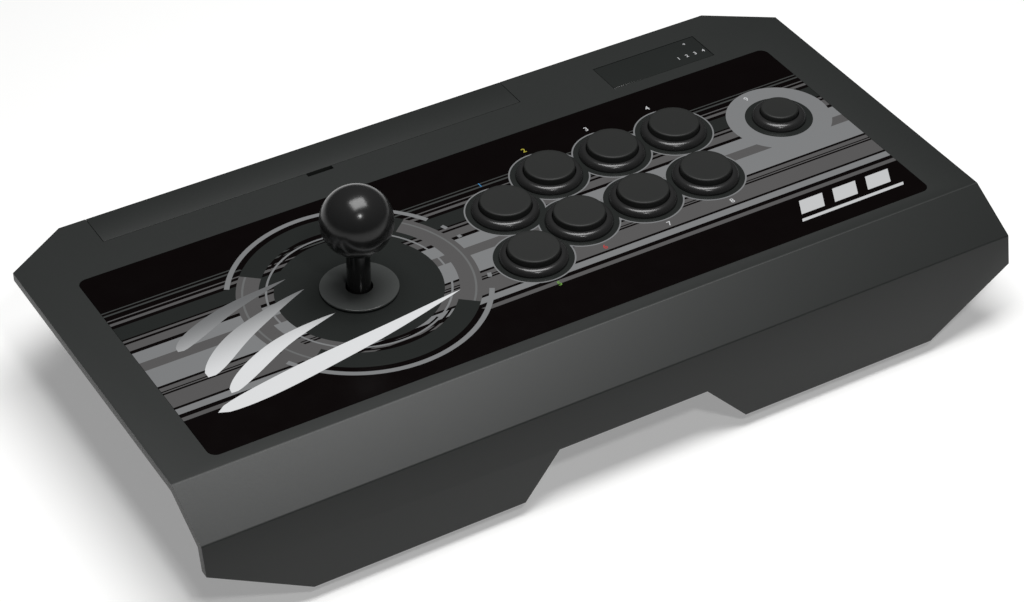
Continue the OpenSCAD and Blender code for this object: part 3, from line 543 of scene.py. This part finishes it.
def cad_copy(node: str) -> BMesh:
    """A merged copy of a CAD node's mesh, with its flat faces joined.

    Args:
        node: Name of the CAD node.

    Returns:
        The copy, in place.
    """
    bm = bmesh.new()
    bm.from_mesh(frame["nodes"][node].data)
    bmesh.ops.remove_doubles(bm, verts=bm.verts, dist=CAD_MERGE)
    bmesh.ops.dissolve_limit(bm, angle_limit=math.radians(0.3), verts=bm.verts, edges=bm.edges)
    return bm


def outer_edges(bm: BMesh, wanted: Callable[[BMEdge], bool], least_angle: float = 20.0) -> list[BMEdge]:
    """Outward-pointing edges that a test picks.

    Args:
        bm: The mesh.
        wanted: Test of one edge.
        least_angle: Smallest fold, in degrees, that counts as an edge.

    Returns:
        The edges to round.
    """
    return [e for e in bm.edges if len(e.link_faces) == 2
            and e.calc_face_angle_signed(0.0) > math.radians(least_angle) and wanted(e)]


def middle(edge: BMEdge) -> Vector:
    """Middle point of an edge."""
    return (edge.verts[0].co + edge.verts[1].co) / 2


def finished(bm: BMesh, name: str, material: Material, body: str,
             nodes: Sequence[str] = (), crease: float = 32.0) -> Object:
    """Turns a mesh into a piece that rides on a body.

    Args:
        bm: The mesh, freed here.
        name: The piece's name.
        material: Its finish.
        body: The CAD body it moves with.
        nodes: CAD nodes that it stands for.
        crease: Folds sharper than this many degrees stay sharp.

    Returns:
        The piece.
    """
    for face in bm.faces:
        face.smooth = True
    for edge in bm.edges:
        edge.smooth = len(edge.link_faces) == 2 and edge.calc_face_angle(0.0) < math.radians(crease)
    mesh = bpy.data.meshes.new(name)
    bm.to_mesh(mesh)
    bm.free()
    mesh.materials.append(material)
    piece = bpy.data.objects.new(name, mesh)
    bpy.context.scene.collection.objects.link(piece)
    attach(piece, body)
    if nodes:
        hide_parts(*nodes)
    log.info("%s: %d faces, rides on %s", name, len(mesh.polygons), body)
    return piece


def shape_from_curve(name: str, build: Callable[[bpy.types.Curve], None], kind: str, place: Vector) -> BMesh:
    """Makes a flat mesh from a text or an outline curve.

    Args:
        name: Name of the temporary curve.
        build: Fills in the curve.
        kind: "FONT" or "CURVE".
        place: Where its origin goes.

    Returns:
        The mesh, in place.
    """
    curve = bpy.data.curves.new(name, kind)
    build(curve)
    carrier = bpy.data.objects.new(name, curve)
    bpy.context.scene.collection.objects.link(carrier)
    bpy.context.view_layer.update()
    mesh = bpy.data.meshes.new_from_object(carrier.evaluated_get(bpy.context.evaluated_depsgraph_get()))
    bm = bmesh.new()
    bm.from_mesh(mesh)
    bmesh.ops.remove_doubles(bm, verts=bm.verts, dist=SHAPE_MERGE)
    bmesh.ops.translate(bm, verts=bm.verts, vec=place)
    bpy.data.objects.remove(carrier)
    bpy.data.curves.remove(curve)
    bpy.data.meshes.remove(mesh)
    return bm


def joined(meshes: Sequence[BMesh]) -> BMesh:
    """Puts several meshes into one, freeing them."""
    whole = bmesh.new()
    for part in meshes:
        mesh = bpy.data.meshes.new("part")
        part.to_mesh(mesh)
        part.free()
        whole.from_mesh(mesh)
        bpy.data.meshes.remove(mesh)
    return whole


# ---------------------------------------------------------------- sub-assemblies

@dataclass
class Case:
    """Top shell, lower case and base of the desk-top case."""

    palette: Palette
    lip_round_mm: float = 0.7
    fold_round_mm: float = 0.6
    flat_top_mm: float = 193.0
    rear_cut_mm: float = 33.0
    gland_bore_mm: float = 2.7
    gland_lip_mm: float = 1.5
    label_mm: tuple[float, float, float] = (64.0, 32.0, 0.25)
    label_x_mm: float = 30.0

    def build(self) -> None:
        """Builds and dresses every piece of the case."""
        self._top_shell()
        self._lower_case()
        self._feet()
        self._screws()
        self._gland()
        self._label()

    def _top_shell(self) -> None:
        """The bent top plate, its folds and lips rounded."""
        bm = cad_copy("top_shell")
        low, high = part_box("top_shell")
        top = high.z
        fold = high.y - self.flat_top_mm * MM

        def on_opening(edge: BMEdge) -> bool:
            """Rims of the panel, lid and window openings in the flat top."""
            spot = middle(edge)
            inside = low.x + 1 * MM < spot.x < high.x - 1 * MM
            return all(v.co.z > top - 0.01 * MM for v in edge.verts) and inside and spot.y > fold + 2 * MM

        def on_fold(edge: BMEdge) -> bool:
            """The two long folds across the front."""
            return edge.calc_length() > 300 * MM and middle(edge).y < fold + 2 * MM

        def on_lip(edge: BMEdge) -> bool:
            """The plate's outer rim, all the way round."""
            spot = middle(edge)
            on_side = min(abs(v.co.x) for v in edge.verts) > high.x - self.rear_cut_mm * MM
            on_front = spot.y < fold - 20 * MM and spot.z < top - 28 * MM
            return edge.calc_length() > 3 * MM and (on_side or on_front) and not on_opening(edge)

        soften(bm, outer_edges(bm, on_fold), self.fold_round_mm, 4)
        soften(bm, outer_edges(bm, on_lip, 25), self.lip_round_mm)
        finished(bm, "top_shell_moulding", self.palette.of(CASE_ABS), "case",
                 ["top_shell"])

    def _lower_case(self) -> None:
        """The tapered tub, its long corners rounded."""
        bm = cad_copy("lower_case")
        soften(bm, outer_edges(bm, lambda e: e.calc_length() > 30 * MM, 25), 1.0)
        finished(bm, "lower_case_moulding", self.palette.of(LOWER_ABS), "case",
                 ["lower_case"])

    def _feet(self) -> None:
        """Six rubber feet with a rounded tread and a shallow cup."""
        low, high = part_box("feet")
        height = high.z - low.z
        columns = (low.x, 0.0, high.x)
        radius = self._foot_radius(low, high)
        profile = [(0.0, 1.0 * MM), (radius * 0.5, 1.0 * MM)]
        profile += arc((radius * 0.5, 0.5 * MM), (0.5 * MM, 0.5 * MM), 90, 0, 3)
        profile += [(radius * 0.5 + 0.9 * MM, 0.0)]
        profile += arc((radius - 1.5 * MM, 1.5 * MM), (1.5 * MM, 1.5 * MM), -90, 0, 6)
        profile += [(radius, height - 0.8 * MM), (radius - 0.6 * MM, height), (0.0, height)]
        feet = []
        for y in (low.y + radius, high.y - radius):
            for x in columns:
                inset = radius if x < 0 else -radius if x > 0 else 0.0
                feet.append(revolved(profile, Vector((x + inset, y, low.z)), 48))
        finished(joined(feet), "rubber_feet", self.palette.of(FOOT_RUBBER), "case", ["feet"])

    @staticmethod
    def _foot_radius(low: Vector, high: Vector) -> float:
        """Radius of one foot, from the middle foot's own vertices."""
        spots = [v.co.x for v in frame["nodes"]["feet"].data.vertices if abs(v.co.x) < (high.x - low.x) / 5]
        return max(spots)

    def _screws(self) -> None:
        """Case screws with a shallow recess in each head."""
        low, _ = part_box("case_screws")
        bm = cad_copy("case_screws")
        heads = [f for f in bm.faces
                 if f.normal.z < -0.9 and abs(f.calc_center_median().z - low.z) < 0.01 * MM]
        bmesh.ops.inset_individual(bm, faces=heads, thickness=1.2 * MM, depth=-0.5 * MM)
        finished(bm, "case_screws_headed", self.palette.of(BRIGHT_STEEL), "case",
                 ["case_screws"])

    def _gland(self) -> None:
        """Rubber bush in the rear wall, grooved to hold the wall."""
        low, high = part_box("cable_gland")
        radius = (high.x - low.x) / 2
        place = Vector(((low.x + high.x) / 2, high.y, (low.z + high.z) / 2))
        length = high.y - low.y
        bore = self.gland_bore_mm * MM
        neck = radius - self.gland_lip_mm * MM
        profile = arc((bore + 0.5 * MM, -0.5 * MM), (0.5 * MM, 0.5 * MM), 180, 90, 4)
        profile += arc((radius - 0.5 * MM, -0.5 * MM), (0.5 * MM, 0.5 * MM), 90, 0, 4)
        profile += [(radius, -1.0 * MM), (neck, -1.0 * MM), (neck, -length + 2 * MM),
                    (radius - 0.5 * MM, -length + 2 * MM), (radius - 0.5 * MM, -length), (bore, -length)]
        bm = revolved(profile, Vector((0, 0, 0)), 64)
        turn = Matrix.Rotation(math.radians(-90), 3, "X")
        bmesh.ops.rotate(bm, verts=bm.verts, cent=(0, 0, 0), matrix=turn)
        bmesh.ops.translate(bm, verts=bm.verts, vec=place)
        finished(bm, "cable_gland_bush", self.palette.of(FOOT_RUBBER), "case", ["cable_gland"])

    def _label(self) -> None:
        """Blank rating plate under the base."""
        low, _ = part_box("base_plate")
        place = Vector((self.label_x_mm * MM, 0.0, low.z))
        length, width, thickness = (size * MM for size in self.label_mm)
        bm = block(place - Vector((length / 2, width / 2, thickness)),
                   place + Vector((length / 2, width / 2, 0.0)), 0.1)
        finished(bm, "blank_rating_label", self.palette.of(INK_SILVER), "case")


@dataclass
class RearLid:
    """Hinged lid, its tray, keys and slide switches."""

    palette: Palette
    edge_round_mm: float = 0.5
    tray_round_mm: float = 0.4
    key_cap: float = 3.9 * MM
    flange: float = 1.2 * MM
    grip_ribs: int = 5

    def build(self) -> None:
        """Builds the lid and what it covers."""
        bm = cad_copy("rear_lid")
        soften(bm, outer_edges(bm, lambda e: e.calc_length() > 1.5 * MM, 30), self.edge_round_mm)
        finished(bm, "rear_lid_moulding", self.palette.of(CASE_ABS), "rear_lid", ["rear_lid"])
        bm = cad_copy("control_tray")
        soften(bm, outer_edges(bm, lambda e: e.calc_length() > 5 * MM, 30), self.tray_round_mm)
        finished(bm, "control_tray_moulding", self.palette.of(LOWER_ABS), "case",
                 ["control_tray"])
        for i in range(1, 5):
            self._key(i)
        for i in range(1, 3):
            self._knob(i)

    def _key(self, i: int) -> None:
        """Round key with a soft edge and a shallow dish."""
        low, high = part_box(f"tray_key_{i}")
        place = Vector(((low.x + high.x) / 2, (low.y + high.y) / 2, low.z))
        height, flange = high.z - low.z, (high.x - low.x) / 2
        cap = self.key_cap
        profile = [(0.0, 0.0), (flange, 0.0), (flange, self.flange), (cap, self.flange)]
        profile += arc((cap - 0.6 * MM, height - 0.6 * MM), (0.6 * MM, 0.6 * MM), 0, 90, 5)
        profile += [(cap * 0.6, height - 0.15 * MM), (0.0, height - 0.3 * MM)]
        finished(revolved(profile, place, 48), f"tray_key_{i}_cap", self.palette.of(KEY_ABS),
                 f"tray_key_{i}", [f"tray_key_{i}"])

    def _knob(self, i: int) -> None:
        """Slide switch knob with a ribbed grip on its carrier."""
        low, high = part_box(f"tray_slider_{i}")
        carrier = block(low, Vector((high.x, high.y, low.z + self.flange)), 0.15)
        stem_low = Vector((low.x + 1.5 * MM, low.y + 2 * MM, low.z + self.flange))
        stem_high = Vector((high.x - 1.5 * MM, high.y - 2 * MM, high.z - 0.5 * MM))
        parts = [carrier, block(stem_low, stem_high, 0.2)]
        pitch = (stem_high.x - stem_low.x) / self.grip_ribs
        for k in range(self.grip_ribs):
            x = stem_low.x + (k + 0.5) * pitch
            parts.append(block(Vector((x - 0.3 * pitch, stem_low.y, stem_high.z - 0.3 * MM)),
                               Vector((x + 0.3 * pitch, stem_high.y, high.z)), 0.15))
        finished(joined(parts), f"tray_slider_{i}_knob", self.palette.of(KEY_ABS),
                 f"tray_slider_{i}", [f"tray_slider_{i}"])


@dataclass
class Lever:
    """Ball top, sleeve and washers of the lever."""

    palette: Palette
    bore_depth: float = 4.0 * MM
    foot_round: float = 0.4 * MM
    washer_round: float = 0.35 * MM

    def build(self) -> None:
        """Builds the ball, the sleeve and both washers."""
        self._ball()
        self._sleeve()
        self._dust_washer()
        self._slip_washer()

    def _ball(self) -> None:
        """Polished ball, counterbored for the sleeve."""
        low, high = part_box("ball_top")
        radius = max(high.x - low.x, high.y - low.y) / 2
        place = Vector(((low.x + high.x) / 2, (low.y + high.y) / 2, high.z - radius))
        bore = (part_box("shaft_sleeve")[1].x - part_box("shaft_sleeve")[0].x) / 2 + 0.2 * MM
        mouth = math.degrees(math.asin(bore / radius))
        profile = [(0.0, radius)]
        profile += arc((0.0, 0.0), (radius, radius), 89, -90 + mouth + 1.5, 72)
        rim = -radius * math.cos(math.radians(mouth))
        profile += [(bore + 0.05 * MM, rim + 0.1 * MM), (bore, rim + 0.6 * MM),
                    (bore, -radius + self.bore_depth), (0.0, -radius + self.bore_depth)]
        finished(revolved(profile, place, 128), "ball_top_polished", self.palette.of(POLISHED_BLACK),
                 "lever", ["ball_top"], 50)

    def _sleeve(self) -> None:
        """Plastic sleeve over the shaft, with a rolled foot."""
        low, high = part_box("shaft_sleeve")
        outer = (high.x - low.x) / 2
        inner = (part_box("lever_shaft")[1].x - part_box("lever_shaft")[0].x) / 2
        height = high.z - low.z
        foot = self.foot_round
        profile = [(inner, 0.0), (outer - foot, 0.0)]
        profile += arc((outer - foot, foot), (foot, foot), -90, 0, 4)
        profile += [(outer, height), (inner, height)]
        finished(revolved(profile, Vector(((low.x + high.x) / 2, (low.y + high.y) / 2, low.z)), 64),
                 "shaft_sleeve_tube", self.palette.of(POLISHED_BLACK), "lever",
                 ["shaft_sleeve"])

    def _dust_washer(self) -> None:
        """Smooth dust washer with its upper edges rounded."""
        low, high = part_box("dust_washer")
        outer, height = (high.x - low.x) / 2, high.z - low.z
        bore = self._bore_of("dust_washer")
        edge = self.washer_round
        profile = arc((bore + edge, height - edge), (edge, edge), 180, 90, 4)
        profile += arc((outer - edge, height - edge), (edge, edge), 90, 0, 6)
        profile += [(outer, 0.1 * MM), (outer - 0.1 * MM, 0.0), (bore, 0.0)]
        # The washer's base colour is lightened past its own grey: a painted reflection
        finished(revolved(profile, Vector(((low.x + high.x) / 2, (low.y + high.y) / 2, low.z)), 128),
                 "dust_washer_disc", self.palette.of(WASHER_GREY_PAINTED_REFLECTION), "dust_washer",
                 ["dust_washer"])

    def _slip_washer(self) -> None:
        """Thin washer under the dust washer, in its CAD shape."""
        finished(cad_copy("slip_washer"), "slip_washer_disc", self.palette.of(LEVER_NYLON), "slip_washer",
                 ["slip_washer"])

    @staticmethod
    def _bore_of(node: str) -> float:
        """Radius of the hole through a round node."""
        middle_point = centre_of(node)
        return min((v.co - middle_point).to_2d().length for v in frame["nodes"][node].data.vertices)


@dataclass
class Buttons:
    """Snap-in buttons: a polished rim and a matt plunger each."""

    palette: Palette
    rim_height: float = 3.6 * MM
    gap: float = 0.35 * MM
    cap_edge: float = 0.9 * MM
    cap_dish: float = 0.12 * MM
    clip_step: float = 0.6 * MM
    rim_lip: float = 1.65 * MM
    stem: float = 2.6 * MM
    stem_hole: float = 3.5 * MM

    def build(self) -> None:
        """Builds the eight large buttons and the small one."""
        for i in LARGE_BUTTONS:
            self._button(f"button_housing_{i}", f"button_plunger_{i}", f"button_{i}")
        self._button("small_button_housing", "small_button_plunger", "small_button")

    def _button(self, housing: str, plunger: str, body: str) -> None:
        """Builds one button from its two CAD nodes.

        Args:
            housing: Node of the housing.
            plunger: Node of the plunger.
            body: Body that the plunger rides on.
        """
        low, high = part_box(housing)
        panel = high.z - self.rim_height
        place = Vector(((low.x + high.x) / 2, (low.y + high.y) / 2, panel))
        rim = (high.x - low.x) / 2
        cap_low, cap_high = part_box(plunger)
        flange = (cap_high.x - cap_low.x) / 2
        cap = flange - self.clip_step
        self._rim(housing, place, rim, cap + self.gap, panel - low.z)
        self._cap(plunger, body, place, cap, cap_high.z - panel, panel - cap_low.z)

    def _rim(self, housing: str, place: Vector, rim: float, bore: float, depth: float) -> None:
        """Rounded rim, stepped barrel and floor of a housing."""
        barrel = rim - self.rim_lip
        crown = bore + 0.8 * MM
        top = self.rim_height
        profile = [(self.stem_hole, -depth), (barrel, -depth), (barrel, 0.0), (rim - 0.15 * MM, 0.0),
                   (rim, 0.25 * MM)]
        profile += arc((crown, 0.45 * MM), (rim - crown, top - 0.45 * MM), 4, 90, 18)
        profile += arc((bore + 0.4 * MM, top - 0.4 * MM), (0.4 * MM, 0.4 * MM), 90, 180, 4)
        profile += [(bore, -3.1 * MM), (bore + 0.7 * MM, -3.1 * MM), (bore + 0.7 * MM, 2 * MM - depth),
                    (self.stem_hole, 2 * MM - depth)]
        finished(revolved(profile, place), f"{housing}_rim", self.palette.of(RIM_GLOSS), "case",
                 [housing], 40)

    def _cap(self, plunger: str, body: str, place: Vector, cap: float, height: float, depth: float) -> None:
        """Flat-topped plunger with a soft edge, a very shallow dish and its stem."""
        rest = -3.3 * MM
        edge, stem, clip = self.cap_edge, self.stem, cap + self.clip_step
        roof, skirt, hollow = height - 2.5 * MM, rest - 8 * MM, cap - 1.6 * MM
        profile = [(0.0, -depth), (stem, -depth), (stem, roof), (hollow, roof), (hollow, skirt),
                   (cap, skirt), (cap, rest - 2 * MM), (clip, rest - 2 * MM), (clip, rest), (cap, rest)]
        profile += arc((cap - edge, height - edge), (edge, edge), 0, 90, 8)
        profile += [(cap * 0.8, height - self.cap_dish * 0.3), (cap * 0.5, height - self.cap_dish * 0.75),
                    (0.0, height - self.cap_dish)]
        finished(revolved(profile, place), f"{plunger}_cap", self.palette.of(CAP_MATT), body,
                 [plunger], 40)


@dataclass
class FacePrint:
    """Print of the control panel and the status window."""

    palette: Palette
    digit_mm: float = 4.4
    lift: float = 0.03 * MM

    def build(self) -> None:
        """Prints the face sheet, the window and their marks."""
        self._face()
        self._marks()
        self._strokes()
        self._blocks()
        self._window()

    def _face(self) -> None:
        """Bands and rings of the face sheet."""
        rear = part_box("top_shell")[1].y
        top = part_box("face_sheet")[1].z
        black, grey, silver, slate, charcoal = Ink.BLACK, Ink.GREY, Ink.SILVER, Ink.SLATE, Ink.CHARCOAL
        bands = (
            (70, slate), (71, black), (72.5, slate), (73.5, black), (76.5, grey), (77.5, black), (79, grey),
            (81, black), (83, charcoal), (92.5, black), (93.5, grey), (95, black), (96.5, grey),
            (101.5, black), (103.5, silver), (111.5, grey), (117.5, silver), (130.5, black), (132, grey),
            (134.5, black), (135, grey), (136, black), (137, grey), (147, black), (148.5, silver),
            (152.5, black), (155, grey), (157.5, black))
        lever_rings = (
            Ring(46.5, 57, grey, 0, 40), Ring(46.5, 57, grey, 140, 180), Ring(46.5, 57, charcoal, 40, 140),
            Ring(53.5, 54.5, Ink.MID_LINE, 0, 40), Ring(53.5, 54.5, Ink.MID_LINE, 140, 180),
            Ring(57, 60, black, 45, 135), Ring(44.5, 45.5, black, 50, 130), Ring(41.5, 42.5, black, 60, 120),
            Ring(42.5, 43.5, silver), Ring(60, 62.5, silver, 30, 150), Ring(60, 62, silver, 19, 22),
            Ring(60, 62, silver, 10, 12), Ring(0, 39.5, charcoal))
        face = PrintedFace(
            "laminated_print_black_and_grey", rear, top, tuple(centre_of("dust_washer").to_2d()),
            tuple(tuple(centre_of(f"button_housing_{i}").to_2d()) for i in LARGE_BUTTONS),
            tuple(centre_of("small_button_housing").to_2d()), bands, lever_rings,
            (Ring(0, 20, silver), Ring(0, 19.25, charcoal)), (Ring(0, 26.5, silver), Ring(0, 17, charcoal)))
        sheet = frame["nodes"]["face_sheet"]
        sheet.data.materials.clear()
        sheet.data.materials.append(self.palette.of(face))

    def _digit(self, text: str, place: Vector, size_mm: float) -> BMesh:
        """One printed digit as a thin raised shape."""
        def fill(curve: bpy.types.Curve) -> None:
            """Sets the digit's text, size and thickness."""
            curve.body = text
            curve.size = size_mm * MM
            curve.align_x = "CENTER"
            curve.align_y = "CENTER"
            curve.extrude = self.lift / 2
            curve.offset = 0.06 * MM
        return shape_from_curve("digit", fill, "FONT", place)

    def _marks(self) -> None:
        """Button numbers on the face, behind the rear row and in front of the front row."""
        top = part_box("face_sheet")[1].z + self.lift / 2
        inks = {1: INK_BLUE, 2: INK_YELLOW, 5: INK_GREEN, 6: INK_RED}
        for i in LARGE_BUTTONS:
            spot = centre_of(f"button_housing_{i}")
            side = 24.2 if i <= 4 else -23.4
            mark = self._digit(str(i), Vector((spot.x, spot.y + side * MM, top)), self.digit_mm)
            ink = self.palette.of(inks.get(i, INK_PALE))
            finished(mark, f"button_number_{i}", ink, "case")
        spot = centre_of("small_button_housing") + Vector((-5 * MM, 21.5 * MM, 0))
        mark = self._digit("9", Vector((spot.x, spot.y, top)), self.digit_mm)
        finished(mark, "button_number_9", self.palette.of(INK_PALE), "case")

    def _outline(self, points: Sequence[tuple[float, float]]) -> BMesh:
        """A flat printed shape from its outline.

        Args:
            points: Outline in millimetres from the middle of the case and its rear edge.

        Returns:
            The thin shape, lying on the face.
        """
        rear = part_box("top_shell")[1].y
        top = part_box("face_sheet")[1].z + self.lift / 2

        def fill(curve: bpy.types.Curve) -> None:
            """Sets the outline's points."""
            curve.dimensions = "2D"
            curve.fill_mode = "BOTH"
            curve.extrude = self.lift / 2
            spline = curve.splines.new("POLY")
            spline.points.add(len(points) - 1)
            spline.use_cyclic_u = True
            for point, (x, y) in zip(spline.points, points):
                point.co = (x * MM, rear + y * MM, 0.0, 1.0)
        return shape_from_curve("outline", fill, "CURVE", Vector((0, 0, top)))

    @staticmethod
    def _slash(start: Vector, bend: Vector, end: Vector, width: float) -> list[tuple[float, float]]:
        """Outline of a brush stroke that is fullest near its start and thins out to its end.

        Args:
            start: Where the brush sets down, in millimetres.
            bend: Control point of the stroke's curve.
            end: Where the brush lifts.
            width: Its greatest width.

        Returns:
            Points down one side and back up the other.
        """
        steps = 28
        left, right = [], []
        for i in range(steps + 1):
            t = i / steps
            spot = start * (1 - t) ** 2 + bend * 2 * t * (1 - t) + end * t ** 2
            ahead = ((bend - start) * (1 - t) + (end - bend) * t).normalized()
            across = Vector((-ahead.y, ahead.x))
            half = width * 0.5 * math.sin(math.pi * t ** 0.6) ** 0.8 if 0 < i < steps else 0.0
            ragged = 1 + 0.12 * math.sin(9.0 * t + width) * t
            left.append(tuple(spot + across * half * ragged))
            if 0 < i < steps:
                right.append(tuple(spot - across * half * (2 - ragged)))
        return left + right[::-1]

    def _strokes(self) -> None:
        """Four brush strokes fanning out beside the lever's rings, a plain ornament."""
        strokes = (
            ((-174, -113), (-154, -97), (-108, -90), 8.5), ((-170, -136), (-146, -112), (-104, -101), 10.5),
            ((-166, -151), (-138, -128), (-100, -124), 9.0), ((-177, -160), (-116, -153), (-42, -138), 10.5))
        shapes = [self._outline(self._slash(Vector(a), Vector(b), Vector(c), w)) for a, b, c, w in strokes]
        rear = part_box("top_shell")[1].y
        ink = FadedInk("screen_ink_faded_white", "c9cacb", "5c5d5e", rear - 140 * MM, rear - 92 * MM)
        finished(joined(shapes), "brush_stroke_ornament", self.palette.of(ink), "case")

    def _blocks(self) -> None:
        """Three slanted blocks over a thin rule in the near right corner, a plain ornament."""
        shapes = []
        for k in range(3):
            x = 127.0 + 19.5 * k
            shapes.append(((x, -170.5), (x + 13.5, -170.5), (x + 18.5, -161.0), (x + 5.0, -161.0)))
        shapes.append(((124.0, -175.6), (183.5, -175.6), (184.6, -173.6), (125.1, -173.6)))
        finished(joined([self._outline(s) for s in shapes]), "slanted_block_ornament",
                 self.palette.of(INK_PALE), "case")

    def _window(self) -> None:
        """Smoked window with its four player numbers and a plain tab."""
        bm = cad_copy("status_window")
        soften(bm, outer_edges(bm, lambda e: True, 30), 0.25)
        finished(bm, "status_window_lens", self.palette.of(SMOKED_ACRYLIC), "case",
                 ["status_window"])
        low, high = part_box("status_window")
        level = high.z + self.lift / 2
        marks = []
        for k in range(4):
            spot = Vector((low.x + (43 + 5 * k) * MM, high.y - 13.8 * MM, level))
            marks.append(self._digit(str(k + 1), spot, 3.2))
        marks.append(self._digit("o", Vector((low.x + 52.6 * MM, high.y - 3.6 * MM, level)), 2.4))
        finished(joined(marks), "player_numbers", self.palette.of(INK_PALE), "case")


class Innards:
    """CAD nodes that keep their own shape and get a better finish."""

    def __init__(self, palette: Palette) -> None:
        """Keeps the palette."""
        self.palette = palette

    def build(self) -> None:
        """Dresses the CAD nodes by their material slots; FacePrint dresses the printed face."""
        rows = [row for row in frame["record"]["subparts"] if row["material_slot"] in SLOT_FINISHES]
        for row in rows:
            mesh = frame["nodes"][row["node"]].data
            mesh.materials.clear()
            mesh.materials.append(self.palette.of(SLOT_FINISHES[row["material_slot"]]))
        log.info("dressed %d CAD nodes", len(rows))


@dataclass
class Studio:
    """Pale floor, soft lights and the camera."""

    azimuth: float = 30.62
    elevation: float = 38.27
    distance: float = 1.3403
    aim: tuple[float, float] = (-0.0260, -0.0441)
    lens_mm: float = 102.6

    def build(self) -> None:
        """Sets up floor, lights, world and camera."""
        self._floor()
        self._light("overhead_softbox", Vector((0.06, -0.01, 1.25)), (0.0, 0.0, 0.0), (0.86, 0.66), 18.0)
        self._light("key_spark", Vector((-0.25, -0.95, 1.25)), (37.0, 0.0, -15.0), (0.13, 0.13), 4.0)
        world = bpy.data.worlds.new("studio_world")
        bpy.context.scene.world = world
        world.use_nodes = True
        background = world.node_tree.nodes["Background"]
        background.inputs["Color"].default_value = linear("b9bcc0")
        background.inputs["Strength"].default_value = 0.06
        self._camera()
        bpy.context.scene.view_settings.view_transform = "Standard"

    def _floor(self) -> None:
        """A wide pale sweep with a faint glow of its own, so that it stays near white."""
        bm = bmesh.new()
        bmesh.ops.create_grid(bm, x_segments=1, y_segments=1, size=4.0)
        mesh = bpy.data.meshes.new("floor")
        bm.to_mesh(mesh)
        bm.free()
        material, _, shader = new_material("pale_paper_sweep")
        shader.inputs["Base Color"].default_value = linear("d8d8d7")
        shader.inputs["Roughness"].default_value = 0.9
        shader.inputs["Emission Color"].default_value = linear("ffffff")
        shader.inputs["Emission Strength"].default_value = 0.3
        mesh.materials.append(material)
        floor = bpy.data.objects.new("floor", mesh)
        bpy.context.scene.collection.objects.link(floor)
        # The bright floor would otherwise wash out the skirt and the sides.
        floor.visible_diffuse = False

    @staticmethod
    def _light(name: str, place: Vector, turn: tuple[float, float, float], size: tuple[float, float],
               watts: float) -> None:
        """Adds one rectangular soft light.

        Args:
            name: Its name.
            place: Its position in metres.
            turn: Its XYZ rotation in degrees; unturned it shines straight down.
            size: Width and height in metres.
            watts: Its power.
        """
        lamp = bpy.data.lights.new(name, "AREA")
        lamp.shape = "RECTANGLE"
        lamp.size, lamp.size_y = size
        lamp.energy = watts
        holder = bpy.data.objects.new(name, lamp)
        holder.location = place
        holder.rotation_euler = tuple(math.radians(a) for a in turn)
        bpy.context.scene.collection.objects.link(holder)

    def _camera(self) -> None:
        """Camera to the front left of the case, looking down on it."""
        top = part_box("top_shell")[1].z
        az, el = math.radians(self.azimuth), math.radians(self.elevation)
        ahead = Vector((math.sin(az) * math.cos(el), math.cos(az) * math.cos(el), -math.sin(el)))
        camera = bpy.data.cameras.new("camera")
        camera.lens = self.lens_mm
        camera.clip_end = 50.0
        holder = bpy.data.objects.new("camera", camera)
        holder.location = Vector((*self.aim, top)) - ahead * self.distance
        holder.rotation_euler = ahead.to_track_quat("-Z", "Y").to_euler()
        bpy.context.scene.collection.objects.link(holder)
        bpy.context.scene.camera = holder


def main() -> None:
    """Builds the sub-assemblies in order."""
    logging.basicConfig(level=logging.INFO, format="%(name)s: %(message)s")
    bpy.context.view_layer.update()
    palette = Palette()
    Studio().build()
    Innards(palette).build()
    for assembly in (Case(palette), RearLid(palette), Lever(palette), Buttons(palette), FacePrint(palette)):
        assembly.build()
        log.info("%s done", type(assembly).__name__)


if __name__ == "__main__":
    main()
